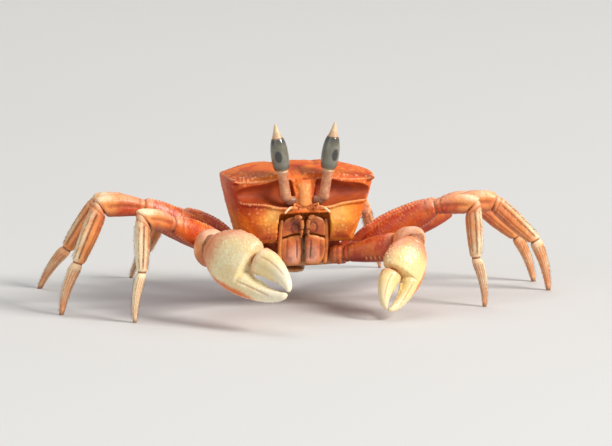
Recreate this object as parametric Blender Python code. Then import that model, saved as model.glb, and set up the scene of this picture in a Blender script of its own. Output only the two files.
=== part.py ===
"""Painted ghost crab, adult male, life size, standing on a level floor.

Every body plate is its own closed solid. Metres, +Z up. The crab faces -Y, its own
left side is +X. The origin is the middle of the whole model's footprint, on the floor.
"""

import math

import bmesh
import bpy
from mathutils import Matrix, Vector

MM = 0.001  # all sizes below are in millimetres

# ---- driving sizes -------------------------------------------------------------
CARAPACE_WIDTH = 40.0      # across the lateral margins
CARAPACE_LENGTH = 34.5     # front to hind margin
BODY_PITCH = 4.0           # degrees, front raised
PITCH_CENTRE = Vector((0.0, 0.0, 23.0))
FOOTPRINT_SHIFT = Vector((-3.275, 3.92, 0.0))  # brings the middle of the footprint to the origin
GAP = 0.30                 # between neighbouring plates

# ---- carapace stations, front to back, for a shield of length 1 and half width 1 ---
# y, half width at the lateral ridge, height of the ridge, rise of the dome above the
# ridge, half width at the lower margin, height of the lower margin
CARAPACE = (
    (-0.4986, 0.780, 32.8, 1.4, 0.540, 20.0),
    (-0.4783, 0.900, 34.2, 1.6, 0.610, 18.8),
    (-0.4406, 0.960, 34.8, 1.8, 0.650, 17.9),
    (-0.3652, 0.995, 35.2, 2.0, 0.695, 17.1),
    (-0.2667, 1.000, 35.4, 2.3, 0.725, 16.7),
    (-0.1333, 0.990, 35.5, 2.5, 0.735, 16.5),
    (0.0000, 0.970, 35.3, 2.7, 0.735, 16.6),
    (0.1246, 0.930, 34.4, 2.9, 0.715, 17.2),
    (0.2348, 0.860, 32.9, 3.1, 0.670, 18.4),
    (0.3333, 0.760, 30.8, 3.1, 0.600, 20.2),
    (0.4116, 0.655, 28.4, 2.8, 0.520, 22.0),
    (0.4667, 0.570, 26.4, 2.0, 0.450, 23.2),
    (0.5014, 0.500, 25.0, 1.0, 0.405, 23.9),
)

# Thorax stations: y, half width, height of the under surface at the middle, at the side
THORAX = (
    (-10.5, 7.0, 11.4, 12.2),
    (-9.2, 10.2, 10.5, 10.9),
    (-4.6, 11.8, 10.0, 10.2),
    (0.0, 12.2, 10.0, 10.2),
    (4.3, 11.6, 10.1, 10.6),
    (8.1, 10.4, 10.8, 11.8),
    (11.5, 8.8, 12.2, 13.6),
    (13.8, 7.4, 14.4, 15.8),
    (15.3, 6.4, 17.4, 18.4),
)

# ---- limb segments: share of length, rise above axis, drop below axis, half breadth
MERUS = (
    (0.00, 2.05, 2.05, 1.75), (0.07, 2.25, 2.25, 1.95), (0.15, 2.10, 2.30, 1.90),
    (0.22, 2.80, 2.75, 2.10), (0.36, 3.90, 3.40, 2.35), (0.55, 4.45, 3.70, 2.50),
    (0.76, 4.25, 3.55, 2.45), (0.91, 3.55, 3.10, 2.25), (1.00, 2.75, 2.50, 2.00),
)
CARPUS = (
    (0.00, 2.20, 2.10, 1.75), (0.22, 2.80, 2.45, 2.05), (0.55, 3.35, 2.75, 2.25),
    (0.82, 3.20, 2.70, 2.15), (1.00, 2.55, 2.30, 1.90),
)
PROPODUS = (
    (0.00, 2.05, 2.05, 1.60), (0.14, 2.55, 2.40, 1.80), (0.42, 2.60, 2.45, 1.75),
    (0.78, 2.20, 2.10, 1.55), (1.00, 1.75, 1.70, 1.30),
)
DACTYLUS = (
    (0.00, 1.45, 1.45, 1.10), (0.12, 1.75, 1.70, 1.25), (0.38, 1.45, 1.45, 1.05),
    (0.66, 1.10, 1.10, 0.85), (0.87, 0.80, 0.80, 0.68), (1.00, 0.62, 0.62, 0.55),
)
LEG_SIDES = 10

# ---- walking legs, front pair to hind pair --------------------------------------
# hip on the crab's left side; lengths of ischium with merus, carpus, propodus and
# dactylus; girth of the sections
LEG_KINDS = (
    dict(hip=(14.0, -7.2, 12.4), lengths=(27.5, 10.0, 14.2, 13.6), girth=0.88),
    dict(hip=(14.5, -1.6, 12.2), lengths=(31.5, 12.0, 16.0, 14.6), girth=1.00),
    dict(hip=(14.0, 4.2, 12.4), lengths=(30.5, 11.5, 15.5, 14.0), girth=0.97),
    dict(hip=(11.8, 9.6, 15.0), lengths=(21.0, 8.5, 11.4, 10.0), girth=0.72),
)
# heading of each leg in degrees forward of straight sideways, then how steeply merus,
# carpus and propodus rise; the dactylus reaches the floor
STANCE = {
    "left": ((21, 30, 5, -86), (-1, 22, 4, -43), (-9, 20, 2, -40), (-56, 16, -12, -60)),
    "right": ((26, 26, 15, -88), (8, 29, 4, -66), (-28, 22, 4, -56), (-52, 15, -12, -60)),
}

# ---- chelipeds: hip, elbow, wrist and claw tip, and which way the movable finger lies
CHELIPEDS = {
    "right": dict(hip=(-11.6, -12.6, 13.4), elbow=(-26.0, -20.0, 17.4), wrist=(-27.4, -27.4, 20.4),
                  tip=(-10.6, -49.6, 12.2), back=(0.30, 0.30, 1.0), size=1.0),
    "left": dict(hip=(11.6, -12.6, 13.4), elbow=(25.6, -19.4, 17.0), wrist=(28.6, -25.2, 19.2),
                 tip=(17.6, -36.6, 3.6), back=(-0.80, 0.0, 0.62), size=0.72),
}
ARM_MERUS = (
    (0.00, 2.3, 2.3, 2.1), (0.14, 2.6, 2.6, 2.3), (0.30, 3.1, 3.1, 2.7),
    (0.62, 4.2, 3.8, 3.4), (0.86, 4.4, 4.0, 3.6), (1.00, 3.9, 3.6, 3.3),
)
ARM_CARPUS = (
    (0.00, 3.9, 3.6, 3.3), (0.25, 4.8, 4.5, 4.2), (0.55, 5.3, 4.9, 4.6),
    (0.82, 5.0, 4.6, 4.2), (1.00, 4.1, 3.9, 3.4),
)
# claw of length 1: along, back edge, belly edge, half breadth. The palm ends in a step
# that leaves the fixed finger standing on its belly side.
PALM = (
    (0.000, 0.130, -0.125, 0.110), (0.050, 0.165, -0.160, 0.125), (0.130, 0.220, -0.215, 0.142),
    (0.240, 0.262, -0.258, 0.153), (0.360, 0.272, -0.278, 0.155), (0.455, 0.252, -0.280, 0.145),
    (0.500, 0.225, -0.278, 0.132),
)
FIXED_FINGER = (
    (0.525, -0.045, -0.274, 0.107), (0.600, -0.075, -0.262, 0.096), (0.720, -0.088, -0.238, 0.080),
    (0.840, -0.080, -0.200, 0.064), (0.930, -0.062, -0.156, 0.048), (0.985, -0.048, -0.112, 0.032),
    (1.000, -0.050, -0.090, 0.020),
)
MOVABLE_FINGER = (
    (0.538, 0.205, -0.020, 0.096), (0.575, 0.230, -0.030, 0.104), (0.665, 0.226, -0.012, 0.094),
    (0.775, 0.190, -0.002, 0.080), (0.875, 0.136, -0.008, 0.064), (0.948, 0.080, -0.022, 0.048),
    (0.990, 0.030, -0.034, 0.032), (1.004, 0.004, -0.032, 0.020),
)
CLAW_SIDES = 14

# ---- eyes: base and tip of the left stalk, both before the body is pitched --------
EYE_BASE = (5.0, -18.5, 28.8)
EYE_TIP = (8.2, -20.2, 49.8)
# share of the length, radius
EYE_OUTLINE = {
    "eyestalk": ((0.00, 1.25), (0.06, 1.45), (0.20, 1.35), (0.34, 1.45), (0.41, 1.80)),
    "eye": ((0.41, 1.85), (0.47, 2.22), (0.56, 2.40), (0.66, 2.36), (0.75, 2.08), (0.815, 1.60)),
    "eye_tip": ((0.815, 1.50), (0.86, 1.12), (0.92, 0.72), (0.97, 0.42), (1.00, 0.27)),
}

# ---- materials: colour, roughness --------------------------------------------------
FINISHES = {
    "shell_orange": ((0.76, 0.150, 0.020), 0.46),
    "limb_red": ((0.62, 0.085, 0.016), 0.44),
    "limb_pale": ((0.88, 0.50, 0.24), 0.44),
    "claw_cream": ((0.92, 0.78, 0.46), 0.42),
    "underside_cream": ((0.72, 0.50, 0.32), 0.50),
    "cornea_grey": ((0.190, 0.180, 0.136), 0.16),
    "stalk_pale": ((0.70, 0.44, 0.26), 0.42),
}

UP = Vector((0.0, 0.0, 1.0))


def clear_scene():
    for obj in list(bpy.data.objects):
        bpy.data.objects.remove(obj, do_unlink=True)


def material(slot):
    found = bpy.data.materials.get(slot)
    if found:
        return found
    colour, roughness = FINISHES[slot]
    made = bpy.data.materials.new(slot)
    made.use_nodes = True
    shader = made.node_tree.nodes["Principled BSDF"]
    shader.inputs["Base Color"].default_value = (*colour, 1.0)
    shader.inputs["Roughness"].default_value = roughness
    shader.inputs["Metallic"].default_value = 0.0
    return made


def collection(name):
    made = bpy.data.collections.new(name)
    bpy.context.scene.collection.children.link(made)
    return made


def body_point(p):
    """A point given on the level body, moved with the body's pitch."""
    turn = Matrix.Rotation(math.radians(-BODY_PITCH), 3, "X")
    return turn @ (Vector(p) - PITCH_CENTRE) + PITCH_CENTRE


def pitched(rings):
    return [[body_point(p) for p in ring] for ring in rings]


def to_scene(mesh, name):
    mesh.transform(Matrix.Scale(MM, 4) @ Matrix.Translation(FOOTPRINT_SHIFT))
    return bpy.data.objects.new(name, mesh)


def part(rings, name, slot, smooth_angle=40.0):
    """A named part of the crab from its rings, in millimetres."""
    obj = to_scene(loft(rings), name)
    PARTS.objects.link(obj)
    obj.data.materials.append(material(slot))
    obj.data.shade_smooth()
    obj.data.set_sharp_from_angle(angle=math.radians(smooth_angle))
    return obj


def helper(rings, name):
    """A hidden solid that a Boolean adds to a part or takes from it."""
    obj = to_scene(loft(rings), name)
    CUTTERS.objects.link(obj)
    obj.hide_render = True
    obj.display_type = "WIRE"
    return obj


def boolean(obj, other, operation):
    modifier = obj.modifiers.new(other.name, "BOOLEAN")
    modifier.operation = operation
    modifier.object = other
    modifier.solver = "EXACT"


def loft(rings):
    """A closed skin over rings of equal count, both ends capped."""
    bm = bmesh.new()
    rows = [[bm.verts.new(p) for p in ring] for ring in rings]
    count = len(rows[0])
    for a, b in zip(rows, rows[1:]):
        for k in range(count):
            j = (k + 1) % count
            bm.faces.new((a[k], a[j], b[j], b[k]))
    bm.faces.new(list(reversed(rows[0])))
    bm.faces.new(rows[-1])
    bmesh.ops.recalc_face_normals(bm, faces=bm.faces)
    mesh = bpy.data.meshes.new("loft")
    bm.to_mesh(mesh)
    bm.free()
    return mesh


def signed_power(value, power):
    return math.copysign(abs(value) ** power, value)


def oval(centre, up, side, rise, drop, half, count, square=2.3):
    """A rounded section: rise above the axis, drop below it, half breadth to each side."""
    points = []
    for k in range(count):
        a = 2 * math.pi * k / count
        s, c = signed_power(math.sin(a), 2 / square), signed_power(math.cos(a), 2 / square)
        points.append(centre + side * (half * c) + up * ((rise if s > 0 else drop) * s))
    return points


def slid_to_plane(points, along, at, normal):
    """Slides points along a direction until they lie in a plane."""
    return [p + along * ((at - p).dot(normal) / along.dot(normal)) for p in points]


def kept_past_plane(points, along, at, normal, least):
    """Slides the points that are nearer than the least distance past a plane."""
    moved = []
    for p in points:
        short = least - (p - at).dot(normal)
        moved.append(p + along * (short / along.dot(normal)) if short > 0 else p)
    return moved


def trimmed(rings, axis, start, end, before, after):
    """Ends the rings at planes half way between this segment and its neighbours, with
    half the gap on each side."""
    rings = list(rings)
    if before is not None:
        normal = (axis + before).normalized()
        rings[0] = slid_to_plane(rings[0], axis, start + normal * (GAP / 2), normal)
        for i in range(1, len(rings) - 1):
            rings[i] = kept_past_plane(rings[i], axis, start, normal, GAP / 2 + 0.25 * i)
    if after is not None:
        normal = (axis + after).normalized() * -1
        rings[-1] = slid_to_plane(rings[-1], axis, end + normal * (GAP / 2), normal)
        for i in range(len(rings) - 2, 0, -1):
            back = len(rings) - 1 - i
            rings[i] = kept_past_plane(rings[i], axis * -1, end, normal, GAP / 2 + 0.25 * back)
    return rings


def limb_rings(start, end, back, sections, girth, count, bow=0.0):
    """Rings of one limb segment, its sections given across the straight line between
    its joints; bow is how far the middle arches towards the back of the limb."""
    axis = (end - start).normalized()
    up = (back - axis * back.dot(axis)).normalized()
    side = axis.cross(up)
    length = (end - start).length
    rings = []
    for share, rise, drop, half in sections:
        centre = start + axis * (length * share) + up * (bow * math.sin(math.pi * share))
        rings.append(oval(centre, up, side, rise * girth, drop * girth, half * girth, count))
    return rings


def leg_joints(number, side):
    """Hip, knee, ankle, toe joint and foot of one walking leg."""
    kind = LEG_KINDS[number]
    heading, *rises = STANCE[side][number]
    mirror = 1 if side == "left" else -1
    x, y, z = kind["hip"]
    points = [body_point((x * mirror, y, z))]
    turn = math.radians(heading)
    out = Vector((mirror * math.cos(turn), -math.sin(turn), 0.0))
    for length, rise in zip(kind["lengths"], rises):
        a = math.radians(rise)
        points.append(points[-1] + out * (length * math.cos(a)) + UP * (length * math.sin(a)))
    last = kind["lengths"][3]
    drop = points[-1].z
    foot = points[-1] + out * math.sqrt(last * last - drop * drop)
    points.append(Vector((foot.x, foot.y, 0.0)))
    return points, out


def walking_leg(number, side):
    girth = LEG_KINDS[number]["girth"]
    joints, out = leg_joints(number, side)
    ways = [(b - a).normalized() for a, b in zip(joints, joints[1:])]
    backs = (UP, UP + out * 0.2, out + UP * 0.6, out + UP * 0.2)
    segments = (("merus", MERUS, "limb_red", 0.0), ("carpus", CARPUS, "limb_red", 0.4),
                ("propodus", PROPODUS, "limb_pale", 0.0), ("dactylus", DACTYLUS, "limb_pale", 0.7))
    for i, (name, sections, slot, bow) in enumerate(segments):
        start, end = joints[i], joints[i + 1]
        rings = limb_rings(start, end, backs[i], sections, girth, LEG_SIDES, bow)
        rings = trimmed(rings, ways[i], start, end, ways[max(i - 1, 0)], ways[i + 1] if i < 3 else None)
        if i == 3:  # the tip is worn to a small flat on the floor
            rings[-1] = slid_to_plane(rings[-1], ways[3], joints[4], UP)
        part(rings, f"leg_{side}_{number + 1}_{name}", slot)


def claw_rings(start, axis, back, length, sections, count):
    up = (back - axis * back.dot(axis)).normalized()
    side = axis.cross(up)
    rings = []
    for share, high, low, half in sections:
        middle, depth = (high + low) / 2, (high - low) / 2
        centre = start + axis * (length * share) + up * (length * middle)
        rings.append(oval(centre, up, side, depth * length, depth * length, half * length, count, 2.2))
    return rings


def cheliped(side):
    arm = CHELIPEDS[side]
    hip, elbow = body_point(arm["hip"]), Vector(arm["elbow"])
    wrist, tip, back = Vector(arm["wrist"]), Vector(arm["tip"]), Vector(arm["back"])
    size, length = arm["size"], (tip - wrist).length
    ways = [(elbow - hip).normalized(), (wrist - elbow).normalized(), (tip - wrist).normalized()]
    rings = limb_rings(hip, elbow, UP, ARM_MERUS, 0.62 + 0.38 * size, LEG_SIDES)
    part(trimmed(rings, ways[0], hip, elbow, ways[0], ways[1]), f"cheliped_{side}_merus", "limb_red")
    rings = limb_rings(elbow, wrist, UP, ARM_CARPUS, 0.5 + 0.5 * size, 12)
    part(trimmed(rings, ways[1], elbow, wrist, ways[0], ways[2]), f"cheliped_{side}_carpus", "limb_red")
    rings = claw_rings(wrist, ways[2], back, length, PALM + FIXED_FINGER, CLAW_SIDES)
    part(trimmed(rings, ways[2], wrist, tip, ways[1], None), f"cheliped_{side}_palm", "claw_cream")
    rings = claw_rings(wrist, ways[2], back, length, MOVABLE_FINGER, CLAW_SIDES)
    part(rings, f"cheliped_{side}_finger", "claw_cream")


def shield_station(station, spare=0.0):
    """One carapace station in millimetres, grown outward by a spare distance."""
    y, ridge, ridge_z, dome, low, low_z = station
    half = CARAPACE_WIDTH / 2
    return (y * CARAPACE_LENGTH, ridge * half + spare, ridge_z + spare, dome, low * half + spare, low_z - spare)


def full_ring(half, y):
    """A whole outline from its half, mirrored across the middle plane."""
    right = [Vector((x, y, z)) for x, z in half]
    left = [Vector((-x, y, z)) for x, z in reversed(half[1:-1])]
    return right + left


def shield_rings(spare=0.0):
    rings = []
    for station in CARAPACE:
        y, ridge, ridge_z, dome, low, low_z = shield_station(station, spare)
        outline = [(ridge * k / 6, ridge_z + dome * (1 - (k / 6) ** 2.4)) for k in range(7)]
        for a in (0.22, 0.5, 0.78, 1.0):  # the flank, a little convex
            outline.append((ridge + (low - ridge) * a ** 1.25, ridge_z + (low_z - ridge_z) * a))
        outline += [(low * 0.55, low_z), (0.0, low_z)]
        rings.append(full_ring(outline, y))
    # the front wall swells forward in two steps
    first = rings[0]
    middle = Vector((0.0, first[0].y, 27.0))
    for share, forward in ((0.72, 0.5), (0.38, 0.8)):
        ring = [middle + (p - middle) * share + Vector((0, -forward, 0)) for p in first]
        rings.insert(0, ring)
    return rings


def across_rings(stations, count, square=2.0):
    """Sections across the X axis: x, y, z of the middle, half depth in y, half height."""
    return [oval(Vector((x, y, z)), UP, Vector((0, 1, 0)), hz, hz, hy, count, square) for x, y, z, hy, hz in stations]


def carapace():
    shield = part(pitched(shield_rings()), "carapace", "shell_orange", 32.0)
    for mirror in (1, -1):
        side = "left" if mirror > 0 else "right"
        # the long open orbit beside the narrow front
        orbit = (
            (2.7, -18.4, 30.2, 0.7, 1.0), (3.5, -18.3, 30.8, 2.9, 3.7), (6.8, -18.2, 30.9, 3.5, 3.6),
            (10.6, -18.0, 30.8, 3.3, 2.7), (14.4, -17.9, 30.8, 3.1, 2.3), (17.8, -17.9, 30.4, 2.8, 1.8),
            (23.0, -18.4, 29.8, 2.4, 1.2),
        )
        rings = across_rings([(x * mirror, y, z, hy, hz) for x, y, z, hy, hz in orbit], 12)
        boolean(shield, helper(pitched(rings), f"orbit_{side}"), "DIFFERENCE")
        # the sharp tooth outside the orbit
        tooth = [
            oval(Vector(((17.0 + 2.3 * t) * mirror, -13.0 - 5.3 * t, 33.8 + 0.5 * t)), UP, Vector((1, 0, 0)),
                 1.5 - 1.25 * t, 1.5 - 1.25 * t, 2.2 - 1.9 * t, 8)
            for t in (0.0, 0.5, 1.0)
        ]
        boolean(shield, helper(pitched(tooth), f"tooth_{side}"), "UNION")
    # frame of the mouth
    mouth = [
        oval(Vector((0, -17.4 + 0.22 * (27.0 - z), z)), Vector((0, 1, 0)), Vector((1, 0, 0)), 2.9, 6.0, half, 16, 4.5)
        for z, half in ((10.0, 6.6), (14.0, 7.3), (21.0, 7.4), (25.4, 6.8))
    ]
    boolean(shield, helper(pitched(mouth), "mouth_frame"), "DIFFERENCE")


def shield_floor(y):
    """Height of the carapace's lower margin at a station y."""
    stations = [shield_station(s) for s in CARAPACE]
    for a, b in zip(stations, stations[1:]):
        if a[0] <= y <= b[0]:
            return a[5] + (b[5] - a[5]) * (y - a[0]) / (b[0] - a[0])
    raise ValueError(y)


def thorax():
    rings = []
    for y, half, middle, edge in THORAX:
        top = shield_floor(y) + 1.0
        outline = [(0, top), (half * 0.6, top), (half, top - 0.1), (half + 0.5, (top + edge) / 2), (half, edge),
                   (half * 0.7, middle + (edge - middle) * 0.6 - 0.15), (half * 0.35, middle), (0, middle)]
        rings.append(full_ring(outline, y))
    plate = part(pitched(rings), "thorax", "underside_cream")
    # the coxae that carry the limbs grow from its edge
    for mirror in (1, -1):
        side = "left" if mirror > 0 else "right"
        for i in range(5):
            if i < 4:
                kind = LEG_KINDS[i]
                x, y, z = kind["hip"]
                joints, out = leg_joints(i, side)
                tip, way = joints[0], (joints[1] - joints[0]).normalized()
                tall, wide, inward = 2.35 * kind["girth"], 2.15 * kind["girth"], 5.6
            else:
                arm = CHELIPEDS[side]
                x, y, z = abs(arm["hip"][0]), arm["hip"][1], arm["hip"][2]
                tip = body_point(arm["hip"])
                way = (Vector(arm["elbow"]) - tip).normalized()
                tall, wide, inward = 2.6, 2.5, 3.4
            root = body_point(((x - inward) * mirror, y * 0.90, z + 0.2))
            along = (tip - root).normalized()
            up = (UP - along * along.z).normalized()
            knob = []
            for share, swell in ((0.0, 0.80), (0.35, 1.0), (0.72, 1.05), (1.0, 0.92)):
                knob.append(oval(root.lerp(tip, share), up, along.cross(up), tall * swell, tall * swell, wide * swell, 10))
            knob[-1] = slid_to_plane(knob[-1], along, tip - way * (GAP / 2), way)
            knob[-2] = kept_past_plane(knob[-2], along * -1, tip, way * -1, GAP / 2 + 0.4)
            boolean(plate, helper(knob, f"coxa_{side}_{i + 1}"), "UNION")
    boolean(plate, helper(pitched(shield_rings(1.2 * GAP)), "carapace_clearance"), "DIFFERENCE")


def abdomen():
    """The narrow tail, folded from the hind margin forward under the thorax."""
    path = ((16.6, 21.9, 6.7, 0.9), (17.7, 21.2, 6.8, 1.0), (18.1, 19.4, 6.8, 1.0), (17.2, 16.6, 6.6, 1.0),
            (15.6, 13.7, 6.4, 1.0), (12.9, 11.0, 6.0, 0.95), (9.4, 9.25, 5.4, 0.85), (5.0, 8.65, 4.6, 0.8),
            (1.0, 8.6, 3.7, 0.75), (-3.0, 8.65, 2.7, 0.7), (-6.5, 8.8, 1.5, 0.55))
    rings = []
    for i, (y, z, half, thick) in enumerate(path):
        before, after = path[max(i - 1, 0)], path[min(i + 1, len(path) - 1)]
        way = Vector((0, after[0] - before[0], after[1] - before[1])).normalized()
        up = Vector((1, 0, 0)).cross(way) * -1
        rings.append(oval(Vector((0, y, z)), up, Vector((1, 0, 0)), thick, thick, half, 14, 3.0))
    part(pitched(rings), "abdomen", "underside_cream")


def mouth():
    """The two doors of the mouth, with the joint across each."""
    table = ((10.9, 1.1, 4.8), (11.8, 0.5, 5.8), (14.6, 0.25, 6.7), (18.6, 0.20, 6.9),
             (19.3, 0.35, 6.8), (20.0, 0.20, 6.9), (22.8, 0.25, 6.8), (24.4, 0.7, 5.8))
    for mirror in (1, -1):
        side = "left" if mirror > 0 else "right"
        rings = []
        for z, inner, outer in table:
            waist = 0.25 if z == 19.3 else 0.0
            centre = Vector(((inner + outer) / 2 * mirror, -16.6 + 0.22 * (25.0 - z), z))
            rings.append(oval(centre, Vector((0, -1, 0)), Vector((1, 0, 0)), 1.25 - waist, 1.0, (outer - inner) / 2 - waist / 2, 12, 4.0))
        part(pitched(rings), f"maxilliped_{side}", "shell_orange")


def eyes():
    slots = {"eyestalk": "stalk_pale", "eye": "cornea_grey", "eye_tip": "stalk_pale"}
    for mirror in (1, -1):
        side = "left" if mirror > 0 else "right"
        base = body_point((EYE_BASE[0] * mirror, EYE_BASE[1], EYE_BASE[2]))
        tip = body_point((EYE_TIP[0] * mirror, EYE_TIP[1], EYE_TIP[2]))
        axis, length = (tip - base).normalized(), (tip - base).length
        across = (Vector((1, 0, 0)) - axis * axis.x).normalized()
        up = axis.cross(across)
        for name, outline in EYE_OUTLINE.items():
            rings = []
            for i, (share, radius) in enumerate(outline):
                along = length * share + (GAP if name != "eyestalk" and i == 0 else 0.0)
                rings.append(oval(base + axis * along, up, across, radius, radius, radius, 12, 2.0))
            part(rings, f"{name}_{side}", slots[name])


def antennae():
    for mirror in (1, -1):
        side = "left" if mirror > 0 else "right"
        base, tip = Vector((2.5 * mirror, -19.0, 26.8)), Vector((6.2 * mirror, -21.4, 25.8))
        axis = (tip - base).normalized()
        up = (UP - axis * axis.z).normalized()
        rings = [
            oval(base.lerp(tip, s) + up * (0.9 * math.sin(math.pi * s)), up, axis.cross(up), r, r, r, 8)
            for s, r in ((0.0, 0.75), (0.18, 0.70), (0.30, 0.42), (0.65, 0.34), (1.0, 0.27))
        ]
        part(pitched(rings), f"antenna_{side}", "limb_pale")


clear_scene()
PARTS = collection("ghost_crab")
CUTTERS = collection("cutters")
carapace()
thorax()
abdomen()
mouth()
eyes()
antennae()
for crab_side in ("left", "right"):
    cheliped(crab_side)
    for leg in range(4):
        walking_leg(leg, crab_side)
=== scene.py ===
"""Looks of the painted ghost crab: fine shell surfaces, joint skins, hair fringes,
materials, floor, light and camera. Working lengths are millimetres, in the frame in
which the crab was laid out; emit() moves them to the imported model's frame.
"""

import math

import bpy
import numpy as np
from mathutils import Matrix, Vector


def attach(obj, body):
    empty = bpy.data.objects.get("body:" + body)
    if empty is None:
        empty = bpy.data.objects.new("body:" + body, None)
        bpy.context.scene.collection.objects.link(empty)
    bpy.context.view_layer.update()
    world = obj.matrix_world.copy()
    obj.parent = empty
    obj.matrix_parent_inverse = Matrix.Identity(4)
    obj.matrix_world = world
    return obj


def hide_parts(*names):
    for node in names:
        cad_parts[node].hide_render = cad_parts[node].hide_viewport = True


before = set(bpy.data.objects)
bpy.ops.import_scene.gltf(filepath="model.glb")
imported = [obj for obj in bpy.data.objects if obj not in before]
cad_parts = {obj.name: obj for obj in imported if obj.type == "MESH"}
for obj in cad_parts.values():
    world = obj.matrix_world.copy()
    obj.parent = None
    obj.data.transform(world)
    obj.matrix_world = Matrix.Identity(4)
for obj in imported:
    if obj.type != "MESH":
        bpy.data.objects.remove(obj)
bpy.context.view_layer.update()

MM = 0.001
TAU = 2 * math.pi
UP = np.array((0.0, 0.0, 1.0))
SHIFT = np.array((-3.275, 3.92, 0.0))
PITCH, PITCH_CENTRE = math.radians(-4.0), np.array((0.0, 0.0, 23.0))
GAP = 0.30
HALF_WIDTH, LENGTH = 20.0, 34.5

# ---- the crab's own sizes, as its solids have them --------------------------------
# y share, ridge half width share, ridge height, dome, lower half width share, lower height
CARAPACE = np.array((
    (-0.4986, 0.780, 32.8, 1.4, 0.540, 20.0), (-0.4783, 0.900, 34.2, 1.6, 0.610, 18.8),
    (-0.4406, 0.960, 34.8, 1.8, 0.650, 17.9), (-0.3652, 0.995, 35.2, 2.0, 0.695, 17.1),
    (-0.2667, 1.000, 35.4, 2.3, 0.725, 16.7), (-0.1333, 0.990, 35.5, 2.5, 0.735, 16.5),
    (0.0000, 0.970, 35.3, 2.7, 0.735, 16.6), (0.1246, 0.930, 34.4, 2.9, 0.715, 17.2),
    (0.2348, 0.860, 32.9, 3.1, 0.670, 18.4), (0.3333, 0.760, 30.8, 3.1, 0.600, 20.2),
    (0.4116, 0.655, 28.4, 2.8, 0.520, 22.0), (0.4667, 0.570, 26.4, 2.0, 0.450, 23.2),
    (0.5014, 0.500, 25.0, 1.0, 0.405, 23.9),
))
# y, half width, middle height, side height
THORAX = np.array((
    (-10.5, 7.0, 11.4, 12.2), (-9.2, 10.2, 10.5, 10.9), (-4.6, 11.8, 10.0, 10.2), (0.0, 12.2, 10.0, 10.2),
    (4.3, 11.6, 10.1, 10.6), (8.1, 10.4, 10.8, 11.8), (11.5, 8.8, 12.2, 13.6), (13.8, 7.4, 14.4, 15.8),
    (15.3, 6.4, 17.4, 18.4),
))
# share of length, rise above axis, drop below it, half breadth
MERUS = np.array((
    (0.00, 2.05, 2.05, 1.75), (0.07, 2.25, 2.25, 1.95), (0.15, 2.10, 2.30, 1.90),
    (0.22, 2.80, 2.75, 2.10), (0.36, 3.90, 3.40, 2.35), (0.55, 4.45, 3.70, 2.50),
    (0.76, 4.25, 3.55, 2.45), (0.91, 3.55, 3.10, 2.25), (1.00, 2.75, 2.50, 2.00),
))
CARPUS = np.array((
    (0.00, 2.20, 2.10, 1.75), (0.22, 2.80, 2.45, 2.05), (0.55, 3.35, 2.75, 2.25),
    (0.82, 3.20, 2.70, 2.15), (1.00, 2.55, 2.30, 1.90),
))
PROPODUS = np.array((
    (0.00, 2.05, 2.05, 1.60), (0.14, 2.55, 2.40, 1.80), (0.42, 2.60, 2.45, 1.75),
    (0.78, 2.20, 2.10, 1.55), (1.00, 1.75, 1.70, 1.30),
))
DACTYLUS = np.array((
    (0.00, 1.45, 1.45, 1.10), (0.12, 1.75, 1.70, 1.25), (0.38, 1.45, 1.45, 1.05),
    (0.66, 1.10, 1.10, 0.85), (0.87, 0.80, 0.80, 0.68), (1.00, 0.60, 0.60, 0.53),
))
LEG_KINDS = (
    dict(hip=(14.0, -7.2, 12.4), lengths=(27.5, 10.0, 14.2, 13.6), girth=0.88),
    dict(hip=(14.5, -1.6, 12.2), lengths=(31.5, 12.0, 16.0, 14.6), girth=1.00),
    dict(hip=(14.0, 4.2, 12.4), lengths=(30.5, 11.5, 15.5, 14.0), girth=0.97),
    dict(hip=(11.8, 9.6, 15.0), lengths=(21.0, 8.5, 11.4, 10.0), girth=0.72),
)
STANCE = {
    "left": ((21, 30, 5, -86), (-1, 22, 4, -43), (-9, 20, 2, -40), (-56, 16, -12, -60)),
    "right": ((26, 26, 15, -88), (8, 29, 4, -66), (-28, 22, 4, -56), (-52, 15, -12, -60)),
}
CHELIPEDS = {
    "right": dict(hip=(-11.6, -12.6, 13.4), elbow=(-26.0, -20.0, 17.4), wrist=(-27.4, -27.4, 20.4),
                  tip=(-10.6, -49.6, 12.2), back=(0.30, 0.30, 1.0), size=1.0),
    "left": dict(hip=(11.6, -12.6, 13.4), elbow=(25.6, -19.4, 17.0), wrist=(28.6, -25.2, 19.2),
                 tip=(17.6, -36.6, 3.6), back=(-0.80, 0.0, 0.62), size=0.72),
}
ARM_MERUS = np.array((
    (0.00, 2.3, 2.3, 2.1), (0.14, 2.6, 2.6, 2.3), (0.30, 3.1, 3.1, 2.7),
    (0.62, 4.2, 3.8, 3.4), (0.86, 4.4, 4.0, 3.6), (1.00, 3.9, 3.6, 3.3),
))
ARM_CARPUS = np.array((
    (0.00, 3.9, 3.6, 3.3), (0.25, 4.8, 4.5, 4.2), (0.55, 5.3, 4.9, 4.6),
    (0.82, 5.0, 4.6, 4.2), (1.00, 4.1, 3.9, 3.4),
))
# the same two with their ends rounded in to the joints
MERUS_OF_ARM = np.concatenate((ARM_MERUS[:-1], ((0.95, 4.2, 3.85, 3.5), (1.00, 3.5, 3.3, 3.0))))
WRIST = np.array((
    (0.00, 3.3, 3.1, 2.8), (0.09, 4.2, 3.9, 3.6), (0.25, 4.9, 4.6, 4.25), (0.55, 5.3, 4.9, 4.6),
    (0.80, 5.05, 4.65, 4.25), (0.92, 4.5, 4.2, 3.75), (1.00, 3.4, 3.2, 2.9),
))
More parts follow.
